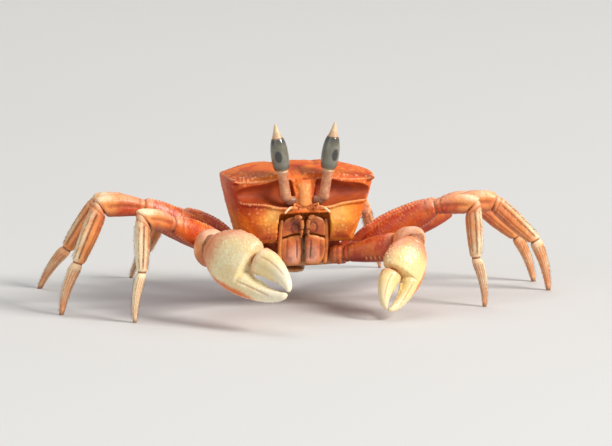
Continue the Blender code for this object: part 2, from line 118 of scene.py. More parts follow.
# along, back edge, belly edge, half breadth, all as shares of the claw's length
PALM = np.array((
    (0.000, 0.112, -0.108, 0.096), (0.022, 0.142, -0.138, 0.112), (0.055, 0.172, -0.166, 0.127), (0.130, 0.220, -0.215, 0.142),
    (0.240, 0.262, -0.258, 0.153), (0.360, 0.272, -0.278, 0.155), (0.455, 0.252, -0.280, 0.145),
    (0.500, 0.225, -0.278, 0.132),
))
FIXED_FINGER = np.array((
    (0.380, -0.060, -0.278, 0.118), (0.455, -0.050, -0.279, 0.114), (0.525, -0.045, -0.274, 0.107),
    (0.600, -0.075, -0.262, 0.096), (0.720, -0.088, -0.238, 0.080), (0.840, -0.080, -0.200, 0.064),
    (0.930, -0.062, -0.156, 0.048), (0.985, -0.048, -0.112, 0.032), (1.000, -0.052, -0.092, 0.022),
))
MOVABLE_FINGER = np.array((
    (0.533, 0.190, -0.015, 0.090), (0.575, 0.230, -0.030, 0.104), (0.665, 0.226, -0.012, 0.094),
    (0.775, 0.190, -0.002, 0.080), (0.875, 0.136, -0.008, 0.064), (0.948, 0.080, -0.022, 0.048),
    (0.990, 0.030, -0.034, 0.032), (1.003, 0.004, -0.032, 0.022),
))
EYE_BASE, EYE_TIP = np.array((5.0, -18.5, 28.8)), np.array((8.2, -20.2, 49.8))
EYE_OUTLINE = {
    "eyestalk": ((0.00, 1.25), (0.06, 1.45), (0.20, 1.35), (0.34, 1.45), (0.405, 1.80)),
    "eye": ((0.41, 1.75), (0.44, 2.05), (0.49, 2.28), (0.56, 2.40), (0.66, 2.36), (0.75, 2.08), (0.80, 1.72), (0.818, 1.50)),
    "eye_tip": ((0.815, 1.46), (0.86, 1.12), (0.92, 0.72), (0.97, 0.42), (1.00, 0.26)),
}
ORBIT = np.array((
    (2.7, -18.4, 30.2, 0.7, 1.0), (3.5, -18.3, 30.8, 2.9, 3.7), (6.8, -18.2, 30.9, 3.5, 3.6),
    (10.6, -18.0, 30.8, 3.3, 2.7), (14.4, -17.9, 30.8, 3.1, 2.3), (17.8, -17.9, 30.4, 2.8, 1.8),
    (23.0, -18.4, 29.8, 2.4, 1.2),
))


# ---- numbers ------------------------------------------------------------------------
def unit(v):
    v = np.asarray(v, float)
    return v / np.linalg.norm(v)


def smooth(low, high, x):
    t = np.clip((np.asarray(x, float) - low) / (high - low), 0, 1)
    return t * t * (3 - 2 * t)


def pchip(x, y, q):
    """A curve through (x, y) that never overshoots. y may have columns."""
    x, y, q = np.asarray(x, float), np.asarray(y, float), np.atleast_1d(np.asarray(q, float))
    flat = y.ndim == 1
    y = y[:, None] if flat else y
    h = np.diff(x)[:, None]
    d = np.diff(y, axis=0) / h
    m = np.zeros_like(y)
    m[0], m[-1] = d[0], d[-1]
    if len(x) > 2:
        a, b = d[:-1], d[1:]
        w1, w2 = 2 * h[1:] + h[:-1], h[1:] + 2 * h[:-1]
        same = a * b > 0
        safe_a, safe_b = np.where(same, a, 1), np.where(same, b, 1)
        m[1:-1] = np.where(same, (w1 + w2) / (w1 / safe_a + w2 / safe_b), 0)
    k = np.clip(np.searchsorted(x, q, side="right") - 1, 0, len(x) - 2)
    hk = (x[k + 1] - x[k])[:, None]
    t = np.clip((q - x[k])[:, None] / hk, 0, 1)
    s = 1 - t
    out = (1 + 2 * t) * s * s * y[k] + t * s * s * hk * m[k] + t * t * (3 - 2 * t) * y[k + 1] - t * t * s * hk * m[k + 1]
    return out[:, 0] if flat else out


def hashed(i, j, k, seed):
    """A steady random share for each lattice cell."""
    h = (
        i.astype(np.int64).astype(np.uint32) * np.uint32(374761393)
        + j.astype(np.int64).astype(np.uint32) * np.uint32(668265263)
        + k.astype(np.int64).astype(np.uint32) * np.uint32(2246822519)
        + np.uint32((seed * 3266489917) & 0xFFFFFFFF)
    )
    h = (h ^ (h >> np.uint32(13))) * np.uint32(1274126177)
    h = (h ^ (h >> np.uint32(15))) * np.uint32(2246822519)
    h = h ^ (h >> np.uint32(16))
    return h.astype(np.float64) / 4294967296.0


def noise(p, size, seed=0):
    """Smooth noise from -1 to 1, in lumps of about this size."""
    q = p / size
    base = np.floor(q)
    f = q - base
    f = f * f * (3 - 2 * f)
    i, j, k = base[..., 0], base[..., 1], base[..., 2]
    total = 0.0
    for di in (0, 1):
        for dj in (0, 1):
            for dk in (0, 1):
                w = (f[..., 0] if di else 1 - f[..., 0]) * (f[..., 1] if dj else 1 - f[..., 1]) * (f[..., 2] if dk else 1 - f[..., 2])
                total = total + w * hashed(i + di, j + dj, k + dk, seed)
    return total * 2 - 1


def layered(p, size, seed=0, layers=3):
    total, weight, norm = 0.0, 1.0, 0.0
    for n in range(layers):
        total = total + weight * noise(p, size / 2**n, seed + 17 * n)
        norm += weight
        weight *= 0.55
    return total / norm


def pebbles(p, size, seed=0, reach=0.46):
    """Round bumps scattered through space, from 0 between them to 1 on top, and a
    random share that tells them apart."""
    q = p / size
    base = np.floor(q)
    best = np.full(q.shape[:-1], 9.0)
    own = np.zeros(q.shape[:-1])
    for di in (-1, 0, 1):
        for dj in (-1, 0, 1):
            for dk in (-1, 0, 1):
                i, j, k = base[..., 0] + di, base[..., 1] + dj, base[..., 2] + dk
                cx, cy, cz = hashed(i, j, k, seed), hashed(i, j, k, seed + 101), hashed(i, j, k, seed + 202)
                d = (i + 0.15 + 0.7 * cx - q[..., 0]) ** 2 + (j + 0.15 + 0.7 * cy - q[..., 1]) ** 2 + (k + 0.15 + 0.7 * cz - q[..., 2]) ** 2
                nearer = d < best
                best = np.where(nearer, d, best)
                own = np.where(nearer, cx, own)
    return np.clip(1 - best / reach**2, 0, 1) ** 0.8, own


def path_at(points, shares):
    """Points at these shares of the length of a smooth curve through the given ones."""
    points = np.asarray(points, float)
    s = np.concatenate(((0,), np.cumsum(np.linalg.norm(np.diff(points, axis=0), axis=1))))
    fine = pchip(s, points, np.linspace(0, s[-1], 400))
    d = np.concatenate(((0,), np.cumsum(np.linalg.norm(np.diff(fine, axis=0), axis=1))))
    return np.stack([np.interp(np.asarray(shares) * d[-1], d, fine[:, c]) for c in range(fine.shape[1])], 1)


def path_points(points, count):
    """Evenly spaced points on a smooth curve through these."""
    return path_at(points, np.linspace(0, 1, count))


def distance_to(p, centres):
    """Distance of each point to the nearest of a few centres, and which one."""
    best, which = np.full(len(p), 1e9), np.zeros(len(p), int)
    for n, c in enumerate(centres):
        d = ((p - c) ** 2).sum(1)
        closer = d < best
        best[closer], which[closer] = d[closer], n
    return np.sqrt(best), which


def turned_with_body(p):
    """Points of the level body, with its pitch."""
    q = np.asarray(p, float) - PITCH_CENTRE
    c, s = math.cos(PITCH), math.sin(PITCH)
    return np.stack((q[..., 0], c * q[..., 1] - s * q[..., 2], s * q[..., 1] + c * q[..., 2]), -1) + PITCH_CENTRE


# ---- meshes ---------------------------------------------------------------------------
def grid_mesh(rows, closed_ends=True):
    """Points, quads and triangles of a tube of rows, each row a closed loop. A point at
    the middle of the first and last rows closes it."""
    n, m, _ = rows.shape
    points = rows.reshape(-1, 3)
    i, j = np.meshgrid(np.arange(n - 1), np.arange(m), indexing="ij")
    a, b = i * m + j, i * m + (j + 1) % m
    quads = np.stack((a, b, b + m, a + m), -1).reshape(-1, 4)
    tris = np.zeros((0, 3), int)
    if closed_ends:
        first, last = rows[0].mean(0), rows[-1].mean(0)
        points = np.concatenate((points, (first, last)))
        j = np.arange(m)
        k = (j + 1) % m
        lead = np.stack((np.full(m, n * m), k, j), -1)
        tail = np.stack((np.full(m, n * m + 1), (n - 1) * m + j, (n - 1) * m + k), -1)
        tris = np.concatenate((lead, tail))
    return points, quads, tris


def joined(*meshes):
    points, quads, tris, at = [], [], [], 0
    for p, q, t in meshes:
        points.append(p)
        quads.append(q + at)
        tris.append(t + at)
        at += len(p)
    return np.concatenate(points), np.concatenate(quads), np.concatenate(tris)


def outward(mesh):
    """The same mesh with its faces turned outward."""
    p, q, t = mesh
    faces = np.concatenate((q[:, (0, 1, 2)], q[:, (0, 2, 3)], t))
    a, b, c = p[faces[:, 0]], p[faces[:, 1]], p[faces[:, 2]]
    if (a * np.cross(b, c)).sum() < 0:
        q, t = q[:, ::-1], t[:, ::-1]
    return p, q, t


def normals_of(mesh):
    p, q, t = mesh
    total = np.zeros_like(p)
    for faces in (q, t):
        if len(faces):
            if faces.shape[1] == 4:
                n = np.cross(p[faces[:, 2]] - p[faces[:, 0]], p[faces[:, 3]] - p[faces[:, 1]])
            else:
                n = np.cross(p[faces[:, 1]] - p[faces[:, 0]], p[faces[:, 2]] - p[faces[:, 0]])
            for c in range(3):
                total[:, c] += np.bincount(faces.ravel(), np.repeat(n[:, c], faces.shape[1]), len(p))
    return total / np.maximum(np.linalg.norm(total, axis=1, keepdims=True), 1e-12)


def relaxed(mesh, times, step=0.5):
    """Evens out a mesh without shrinking it."""
    p, q, t = mesh
    edges = np.concatenate((q[:, (0, 1)], q[:, (1, 2)], q[:, (2, 3)], q[:, (3, 0)]))
    if len(t):
        edges = np.concatenate((edges, t[:, (0, 1)], t[:, (1, 2)], t[:, (2, 0)]))
    both = np.concatenate((edges, edges[:, ::-1]))
    count = np.bincount(both[:, 0], minlength=len(p))[:, None]
    for n in range(times * 2):
        mean = np.stack([np.bincount(both[:, 0], p[both[:, 1], c], len(p)) for c in range(3)], 1) / np.maximum(count, 1)
        p = p + (mean - p) * (step if n % 2 == 0 else -step * 1.03)
    return p, q, t


def softened(mesh, times, weight):
    """Rounds off a mesh where the weight is high."""
    p, q, t = mesh
    edges = np.concatenate((q[:, (0, 1)], q[:, (1, 2)], q[:, (2, 3)], q[:, (3, 0)]))
    if len(t):
        edges = np.concatenate((edges, t[:, (0, 1)], t[:, (1, 2)], t[:, (2, 0)]))
    both = np.concatenate((edges, edges[:, ::-1]))
    count = np.maximum(np.bincount(both[:, 0], minlength=len(p)), 1)[:, None]
    for _ in range(times):
        mean = np.stack([np.bincount(both[:, 0], p[both[:, 1], c], len(p)) for c in range(3)], 1) / count
        p = p + (mean - p) * weight[:, None]
    return p, q, t


def plain_object(mesh, name):
    p, q, t = mesh
    data = bpy.data.meshes.new(name)
    data.from_pydata(p.tolist(), [], q.tolist() + t.tolist())
    data.update()
    made = bpy.data.objects.new(name, data)
    bpy.context.scene.collection.objects.link(made)
    return made


def evaluated(obj):
    """Points, quads and triangles of an object with its modifiers."""
    seen = obj.evaluated_get(bpy.context.evaluated_depsgraph_get())
    data = bpy.data.meshes.new_from_object(seen)
    p = np.zeros(len(data.vertices) * 3)
    data.vertices.foreach_get("co", p)
    sizes, starts = np.zeros(len(data.polygons), int), np.zeros(len(data.polygons), int)
    data.polygons.foreach_get("loop_total", sizes)
    data.polygons.foreach_get("loop_start", starts)
    corners = np.zeros(len(data.loops), int)
    data.loops.foreach_get("vertex_index", corners)
    q = corners[starts[sizes == 4][:, None] + np.arange(4)] if (sizes == 4).any() else np.zeros((0, 4), int)
    t = corners[starts[sizes == 3][:, None] + np.arange(3)] if (sizes == 3).any() else np.zeros((0, 3), int)
    bpy.data.meshes.remove(data)
    return p.reshape(-1, 3), q, t


def dropped(obj):
    data = obj.data
    bpy.data.objects.remove(obj)
    bpy.data.meshes.remove(data)


def carved(mesh, cutters):
    """The mesh less its cutters, as an object that a remesh can take."""
    target = plain_object(mesh, "target")
    tools = [plain_object(c, "tool") for c in cutters]
    for tool in tools:
        cut = target.modifiers.new("cut", "BOOLEAN")
        cut.operation, cut.solver, cut.object = "DIFFERENCE", "EXACT", tool
    bpy.context.view_layer.update()
    seen = target.evaluated_get(bpy.context.evaluated_depsgraph_get())
    data = bpy.data.meshes.new_from_object(seen)
    done = bpy.data.objects.new("carved", data)
    bpy.context.scene.collection.objects.link(done)
    for o in (target, *tools):
        dropped(o)
    return done


def fused(meshes, voxel, rounds, cutters=()):
    """One skin over all these closed shapes, evenly meshed. The first is carved first."""
    first = carved(outward(meshes[0]), [outward(c) for c in cutters])
    rest = [outward(m) for m in meshes[1:]]
    if rest:
        extra = plain_object(joined(*rest), "extra")
        bpy.context.view_layer.update()
        import bmesh

        bm = bmesh.new()
        bm.from_mesh(first.data)
        bm.from_mesh(extra.data)
        bm.to_mesh(first.data)
        bm.free()
        dropped(extra)
    even = first.modifiers.new("even", "REMESH")
    even.mode, even.voxel_size, even.adaptivity = "VOXEL", voxel, 0.0
    bpy.context.view_layer.update()
    mesh = evaluated(first)
    dropped(first)
    return outward(relaxed(mesh, rounds))


def loft(points, radii, count=20, flatness=None, up=UP, square=2.0, cap=True):
    """A closed tube along a line of points. radii is one number, or (side, up), for each
    point."""
    points = np.asarray(points, float)
    radii = np.asarray(radii, float)
    if radii.ndim == 1:
        radii = np.stack((radii, radii), 1)
    way = np.gradient(points, axis=0)
    way /= np.linalg.norm(way, axis=1, keepdims=True)
    tall = up - way * (way @ up)[:, None]
    tall /= np.linalg.norm(tall, axis=1, keepdims=True)
    side = np.cross(way, tall)
    a = np.arange(count) * TAU / count
    c, s = np.cos(a), np.sin(a)
    c, s = np.sign(c) * abs(c) ** (2 / square), np.sign(s) * abs(s) ** (2 / square)
    rows = points[:, None] + side[:, None] * (radii[:, 0, None, None] * c[None, :, None]) + tall[:, None] * (radii[:, 1, None, None] * s[None, :, None])
    return grid_mesh(rows)


def rounded_ends(count, ends=0.25):
    """Shares along a bar, and how full it is there, for half-round ends."""
    t = 0.5 - 0.5 * np.cos(np.linspace(0, math.pi, count))
    full = np.sqrt(np.clip(1 - np.clip((ends - np.minimum(t, 1 - t)) / ends, 0, 1) ** 2, 0.0004, 1))
    return t, full


def ball(centre, radii, count=16):
    """A closed ellipsoid."""
    a = np.linspace(0.06, math.pi - 0.06, count)
    b = np.arange(2 * count) * TAU / (2 * count)
    rows = np.stack((
        np.sin(a)[:, None] * np.cos(b)[None], np.sin(a)[:, None] * np.sin(b)[None], np.repeat(np.cos(a)[:, None], len(b), 1),
    ), -1)
    return grid_mesh(rows * np.asarray(radii, float) + np.asarray(centre, float))


PIECES = []


def emit(name, mesh, material, replaces=(), marks=None, uv=None):
    """A finished piece of the crab: marks are numbers for each point, that its material
    reads."""
    p, q, t = mesh
    data = bpy.data.meshes.new(name)
    data.vertices.add(len(p))
    data.vertices.foreach_set("co", ((p + SHIFT) * MM).astype(np.float32).ravel())
    data.loops.add(q.size + t.size)
    data.loops.foreach_set("vertex_index", np.concatenate((q.ravel(), t.ravel())).astype(np.int32))
    starts = np.concatenate((np.arange(len(q)) * 4, q.size + np.arange(len(t)) * 3))
    data.polygons.add(len(starts))
    data.polygons.foreach_set("loop_start", starts.astype(np.int32))
    data.update(calc_edges=True)
    data.validate()
    data.shade_smooth()
    for key, values in (marks or {}).items():
        made = data.attributes.new(key, "FLOAT", "POINT")
        made.data.foreach_set("value", np.ascontiguousarray(values, np.float32))
    if uv is not None:
        layer = data.uv_layers.new(name="OFBake")
        layer.data.foreach_set("uv", np.ascontiguousarray(uv, np.float32).ravel())
    obj = bpy.data.objects.new(name, data)
    bpy.context.scene.collection.objects.link(obj)
    data.materials.append(material)
    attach(obj, "root")
    if replaces:
        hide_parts(*replaces)
    PIECES.append((name, 2 * len(q) + len(t)))
    return obj


# ---- materials -------------------------------------------------------------------------
class Shell:
    """A node material put together step by step. Its patterns are laid out in
    millimetres of the model."""

    def __init__(self, name):
        self.material = bpy.data.materials.new(name)
        self.material.use_nodes = True
        self.tree = self.material.node_tree
        self.shader = self.tree.nodes["Principled BSDF"]
        place = self.node("ShaderNodeTexCoord")
        scale = self.node("ShaderNodeVectorMath")
        scale.operation = "SCALE"
        self.tree.links.new(place.outputs["Object"], scale.inputs[0])
        scale.inputs["Scale"].default_value = 1000.0
        self.place = scale.outputs["Vector"]

    def node(self, kind):
        return self.tree.nodes.new(kind)

    def put(self, socket, value):
        if isinstance(value, bpy.types.NodeSocket):
            self.tree.links.new(value, socket)
        elif isinstance(value, (tuple, list)):
            socket.default_value = (*value, 1.0) if len(value) == 3 and socket.type == "RGBA" else value
        else:
            socket.default_value = value

    def mark(self, name):
        n = self.node("ShaderNodeAttribute")
        n.attribute_name = name
        return n.outputs["Fac"]

    def noise(self, size, detail=3.0, rough=0.55, warp=0.0, place=None):
        n = self.node("ShaderNodeTexNoise")
        self.put(n.inputs["Vector"], place or self.place)
        n.inputs["Scale"].default_value = 1.0 / size
        n.inputs["Detail"].default_value = detail
        n.inputs["Roughness"].default_value = rough
        n.inputs["Distortion"].default_value = warp
        return n.outputs["Fac"]

    def cells(self, size, feature="F1", jitter=1.0, output="Distance", place=None):
        n = self.node("ShaderNodeTexVoronoi")
        n.feature = feature
        self.put(n.inputs["Vector"], place or self.place)
        n.inputs["Scale"].default_value = 1.0 / size
        n.inputs["Randomness"].default_value = jitter
        return n.outputs[output]

    def maths(self, operation, a, b=0.5, c=None):
        n = self.node("ShaderNodeMath")
        n.operation = operation
        self.put(n.inputs[0], a)
        self.put(n.inputs[1], b)
        if c is not None:
            self.put(n.inputs[2], c)
        return n.outputs[0]

    def span(self, value, low, high, to_low=0.0, to_high=1.0, kind="SMOOTHSTEP"):
        n = self.node("ShaderNodeMapRange")
        n.interpolation_type = kind
        n.clamp = True
        self.put(n.inputs["Value"], value)
        for key, v in (("From Min", low), ("From Max", high), ("To Min", to_low), ("To Max", to_high)):
            n.inputs[key].default_value = v
        return n.outputs["Result"]

    def mix(self, share, a, b, blend="MIX"):
        n = self.node("ShaderNodeMix")
        n.data_type, n.blend_type = "RGBA", blend
        n.clamp_factor = True
        self.put(n.inputs[0], share)
        self.put(n.inputs[6], a)
        self.put(n.inputs[7], b)
        return n.outputs[2]

    def bump(self, height, strength, depth, under=None):
        n = self.node("ShaderNodeBump")
        self.put(n.inputs["Height"], height)
        n.inputs["Strength"].default_value = strength
        n.inputs["Distance"].default_value = depth * MM
        if under is not None:
            self.put(n.inputs["Normal"], under)
        return n.outputs["Normal"]

    def done(self, colour, roughness, normal=None, **fixed):
        self.put(self.shader.inputs["Base Color"], colour)
        self.put(self.shader.inputs["Roughness"], roughness)
        if normal is not None:
            self.put(self.shader.inputs["Normal"], normal)
        for key, value in fixed.items():
            self.shader.inputs[key.replace("_", " ")].default_value = value
        return self.material


def relief_shading(s, colour, lift=0.8, groove_shade=0.75, groove=(0.14, 0.026, 0.014)):
    """Granule tops a little pale; grooves darkened as painted shade."""
    relief = s.mark("relief")
    colour = s.mix(s.maths("MULTIPLY", s.span(relief, 0.15, 1.0), lift), colour, s.mix(0.45, colour, (0.98, 0.66, 0.34)))
    # painted shade: grooves darkened toward the groove colour
    return s.mix(s.maths("MULTIPLY", s.span(relief, -0.05, -0.9), groove_shade), colour, groove)


def shell_material():
    s = Shell("carapace_shell")
    clouds = s.noise(7.5, 4, 0.6, 0.6)
    small = s.noise(1.6, 3, 0.6)
    fine = s.noise(0.32, 2, 0.6)
    orange, red, brick = (0.90, 0.205, 0.018), (0.74, 0.090, 0.012), (0.36, 0.030, 0.010)
    gold = (0.96, 0.45, 0.058)
    colour = s.mix(s.span(clouds, 0.36, 0.66), orange, red)
    colour = s.mix(s.maths("MULTIPLY", s.span(small, 0.56, 0.74), 0.42), colour, brick)
    colour = s.mix(s.maths("MULTIPLY", s.span(s.noise(2.6, 2, 0.5), 0.60, 0.72), 0.40), colour, (0.90, 0.30, 0.040))
    colour = s.mix(s.mark("gold"), colour, s.mix(s.span(small, 0.35, 0.7), gold, (0.90, 0.30, 0.035)))
    colour = s.mix(s.mark("pale"), colour, (0.94, 0.60, 0.22))
    colour = s.mix(s.mark("dark"), colour, brick)
    # orbit lining: the socket's own deeper red, darkened further as painted shade in the hollow
    socket_red_and_shade = s.mix(s.span(clouds, 0.36, 0.66), (0.56, 0.105, 0.022), (0.33, 0.044, 0.014))
    colour = s.mix(s.mark("hollow"), colour, socket_red_and_shade)
    colour = s.mix(s.maths("MULTIPLY", s.span(fine, 0.60, 0.80), 0.30), colour, (0.16, 0.022, 0.012))
    colour = relief_shading(s, colour)
    rough = s.maths("ADD", s.span(small, 0.3, 0.7, 0.40, 0.56), s.span(fine, 0.3, 0.7, -0.05, 0.07))
    grain = s.bump(s.cells(0.34, "SMOOTH_F1"), 0.55, -0.05)
    grain = s.bump(fine, 0.35, 0.03, grain)
    return s.done(colour, rough, grain, Specular_IOR_Level=0.32)


def limb_material():
    s = Shell("limb_shell")
    clouds = s.noise(4.2, 4, 0.6, 0.5)
    small = s.noise(1.1, 3, 0.6)
    fine = s.noise(0.25, 2, 0.6)
    red, orange = (0.56, 0.050, 0.011), (0.76, 0.150, 0.020)
    peach, cream = (0.90, 0.34, 0.098), (0.95, 0.78, 0.50)
    colour = s.mix(s.span(clouds, 0.38, 0.64), red, orange)
    colour = s.mix(s.maths("MULTIPLY", s.span(small, 0.58, 0.74), 0.5), colour, (0.27, 0.030, 0.014))
    # pale: the limb's own cream toward the tips, with painted light on upper sides
    pale = s.maths("ADD", s.mark("pale"), s.span(clouds, 0.3, 0.7, -0.10, 0.10))
    colour = s.mix(s.span(pale, 0.05, 0.50), colour, peach)
    colour = s.mix(s.span(pale, 0.45, 0.88), colour, cream)
    # pink: painted highlight on the upper side of knees and wrists
    colour = s.mix(s.mark("pink"), colour, (0.80, 0.34, 0.25))
    streaks = s.maths("MULTIPLY", s.span(s.noise(1.3, 3, 0.6, 1.0), 0.52, 0.66), s.span(pale, 0.35, 1.0, 0.55, 0.16))
    colour = s.mix(streaks, colour, (0.84, 0.25, 0.045))
    # dark: painted shade on undersides and toward the body, with the limb's own dark blotches
    colour = s.mix(s.mark("dark"), colour, (0.25, 0.024, 0.010))
    colour = s.mix(s.mark("horn"), colour, (0.20, 0.085, 0.035))
    colour = s.mix(s.maths("MULTIPLY", s.span(fine, 0.62, 0.82), 0.28), colour, (0.20, 0.035, 0.015))
    colour = relief_shading(s, colour, 0.8, 0.6, (0.40, 0.080, 0.020))
    rough = s.maths("ADD", s.span(small, 0.3, 0.7, 0.32, 0.48), s.span(fine, 0.3, 0.7, -0.05, 0.06))
    grain = s.bump(s.cells(0.26, "SMOOTH_F1"), 0.45, -0.035)
    grain = s.bump(fine, 0.35, 0.02, grain)
    return s.done(colour, rough, grain, Coat_Weight=0.10, Coat_Roughness=0.25)


def claw_material():
    s = Shell("claw_shell")
    clouds = s.noise(5.0, 4, 0.6, 0.4)
    small = s.noise(1.2, 3, 0.6)
    fine = s.noise(0.28, 2, 0.6)
    colour = s.mix(s.span(clouds, 0.35, 0.68), (0.93, 0.82, 0.50), (0.92, 0.72, 0.36))
    colour = s.mix(s.maths("MULTIPLY", s.span(small, 0.50, 0.74), 0.35), colour, (0.84, 0.50, 0.24))
    colour = s.mix(s.mark("warm"), colour, (0.88, 0.63, 0.22))
    blush = s.maths("ADD", s.mark("blush"), s.span(small, 0.3, 0.7, -0.12, 0.12))
    colour = s.mix(s.span(blush, 0.08, 0.95), colour, (0.80, 0.325, 0.165))
    rust = s.maths("ADD", s.mark("rust"), s.span(clouds, 0.3, 0.7, -0.12, 0.12))
    colour = s.mix(s.span(rust, 0.10, 0.90), colour, (0.80, 0.190, 0.025))
    colour = s.mix(s.mark("white"), colour, (0.94, 0.87, 0.66))
    colour = s.mix(s.maths("MULTIPLY", s.span(fine, 0.62, 0.82), 0.16), colour, (0.52, 0.20, 0.08))
    relief = s.mark("relief")
    colour = s.mix(s.maths("MULTIPLY", s.span(relief, 0.25, 1.0), 0.5), colour, (0.93, 0.84, 0.66))
    # painted shade in the grooves of the claw
    colour = s.mix(s.maths("MULTIPLY", s.span(relief, -0.1, -0.9), 0.55), colour, (0.50, 0.19, 0.075))
    rough = s.maths("ADD", s.span(small, 0.3, 0.7, 0.28, 0.42), s.span(fine, 0.3, 0.7, -0.05, 0.06))
    grain = s.bump(s.cells(0.30, "SMOOTH_F1"), 0.35, -0.03)
    grain = s.bump(fine, 0.30, 0.02, grain)
    return s.done(colour, rough, grain, Coat_Weight=0.14, Coat_Roughness=0.22)


def under_material():
    s = Shell("under_shell")
    clouds = s.noise(5.0, 4, 0.6, 0.4)
    small = s.noise(1.0, 3, 0.6)
    fine = s.noise(0.25, 2, 0.6)
    # tan and brownish orange: the underside's own pale colour, darkened as painted shade under the body
    colour = s.mix(s.span(clouds, 0.35, 0.66), (0.78, 0.52, 0.31), (0.66, 0.32, 0.13))
    colour = s.mix(s.maths("MULTIPLY", s.span(small, 0.55, 0.75), 0.4), colour, (0.50, 0.17, 0.06))
    colour = s.mix(s.mark("warm"), colour, s.mix(s.span(small, 0.35, 0.66), (0.60, 0.145, 0.036), (0.40, 0.070, 0.024)))
    colour = s.mix(s.maths("MULTIPLY", s.span(fine, 0.62, 0.82), 0.3), colour, (0.30, 0.12, 0.06))
    colour = relief_shading(s, colour, 0.7, 0.8)
    rough = s.maths("ADD", s.span(small, 0.3, 0.7, 0.40, 0.55), s.span(fine, 0.3, 0.7, -0.05, 0.06))
    grain = s.bump(s.cells(0.40, "SMOOTH_F1"), 0.35, -0.03)
    grain = s.bump(fine, 0.35, 0.025, grain)
    return s.done(colour, rough, grain)


def cornea_material():
    s = Shell("cornea")
    clouds = s.noise(1.6, 3, 0.6, 0.4)
    fine = s.noise(0.22, 2, 0.5)
    colour = s.mix(s.span(clouds, 0.30, 0.72), (0.165, 0.158, 0.122), (0.225, 0.207, 0.152))
    colour = s.mix(s.maths("MULTIPLY", s.span(fine, 0.50, 0.72), 0.40), colour, (0.105, 0.100, 0.078))
    colour = s.mix(s.mark("shade"), colour, (0.060, 0.058, 0.050))
    # painted pseudopupil: a dark spot fixed on the front of the cornea
    colour = s.mix(s.mark("pseudopupil_paint"), colour, (0.012, 0.013, 0.015))
    colour = s.mix(s.mark("band"), colour, (0.36, 0.20, 0.10))
    facets = s.bump(s.cells(0.16, "F1", 0.25), 0.20, -0.012)
    return s.done(colour, s.span(clouds, 0.3, 0.7, 0.10, 0.18), facets, Coat_Weight=0.6, Coat_Roughness=0.06)


def stalk_material():
    s = Shell("stalk")
    clouds = s.noise(1.8, 4, 0.6, 0.5)
    small = s.noise(0.5, 3, 0.6)
    fine = s.noise(0.16, 2, 0.6)
    colour = s.mix(s.span(clouds, 0.35, 0.66), (0.66, 0.28, 0.13), (0.46, 0.13, 0.055))
    colour = s.mix(s.mark("pale"), colour, (0.80, 0.62, 0.38))
    colour = s.mix(s.maths("MULTIPLY", s.span(small, 0.55, 0.72), 0.5), colour, (0.30, 0.085, 0.045))
    colour = s.mix(s.mark("dark"), colour, (0.17, 0.060, 0.035))
    rough = s.span(small, 0.3, 0.7, 0.34, 0.50)
    grain = s.bump(fine, 0.4, 0.02)
    return s.done(colour, rough, grain, Coat_Weight=0.10, Coat_Roughness=0.25)


def membrane_material():
    s = Shell("joint_skin")
    small = s.noise(0.7, 4, 0.6, 0.5)
    fine = s.noise(0.18, 2, 0.6)
    colour = s.mix(s.span(small, 0.35, 0.66), (0.46, 0.185, 0.085), (0.26, 0.085, 0.042))
    colour = s.mix(s.maths("MULTIPLY", s.span(fine, 0.55, 0.75), 0.5), colour, (0.60, 0.36, 0.20))
    grain = s.bump(small, 0.5, 0.05)
    return s.done(colour, s.span(small, 0.3, 0.7, 0.45, 0.62), s.bump(fine, 0.4, 0.02, grain))


def mouth_material():
    s = Shell("mouth_shell")
    clouds = s.noise(3.2, 4, 0.6, 0.6)
    small = s.noise(0.9, 3, 0.6)
    fine = s.noise(0.25, 2, 0.6)
    colour = s.mix(s.span(clouds, 0.36, 0.64), (0.72, 0.150, 0.026), (0.46, 0.066, 0.018))
    colour = s.mix(s.maths("MULTIPLY", s.span(small, 0.52, 0.72), 0.45), colour, (0.78, 0.36, 0.12))
    colour = s.mix(s.mark("pink"), colour, (0.86, 0.40, 0.27))
    colour = s.mix(s.mark("gold"), colour, (0.84, 0.38, 0.09))
    colour = s.mix(s.mark("dark"), colour, (0.075, 0.024, 0.014))
    colour = relief_shading(s, colour, 0.6, 0.7)
    rough = s.maths("ADD", s.span(small, 0.3, 0.7, 0.36, 0.50), s.span(fine, 0.3, 0.7, -0.05, 0.06))
    grain = s.bump(s.cells(0.30, "SMOOTH_F1"), 0.4, -0.03)
    return s.done(colour, rough, s.bump(fine, 0.35, 0.02, grain), Coat_Weight=0.08, Coat_Roughness=0.3)


def hair_material():
    s = Shell("setae")
    small = s.noise(0.8, 3, 0.6)
    colour = s.mix(s.span(small, 0.35, 0.66), (0.36, 0.20, 0.095), (0.17, 0.080, 0.036))
    return s.done(colour, s.span(small, 0.3, 0.7, 0.45, 0.60))


SHELL, LIMB, CLAW, UNDER = shell_material(), limb_material(), claw_material(), under_material()
CORNEA, STALK, SKIN, MOUTH, HAIR = cornea_material(), stalk_material(), membrane_material(), mouth_material(), hair_material()


# ---- carapace ----------------------------------------------------------------------------
def shield_at(y):
    """Ridge half width, ridge height, dome, lower half width and lower height at y."""
    row = pchip(CARAPACE[:, 0] * LENGTH, CARAPACE[:, 1:], y)
    return row * (HALF_WIDTH, 1, 1, HALF_WIDTH, 1)


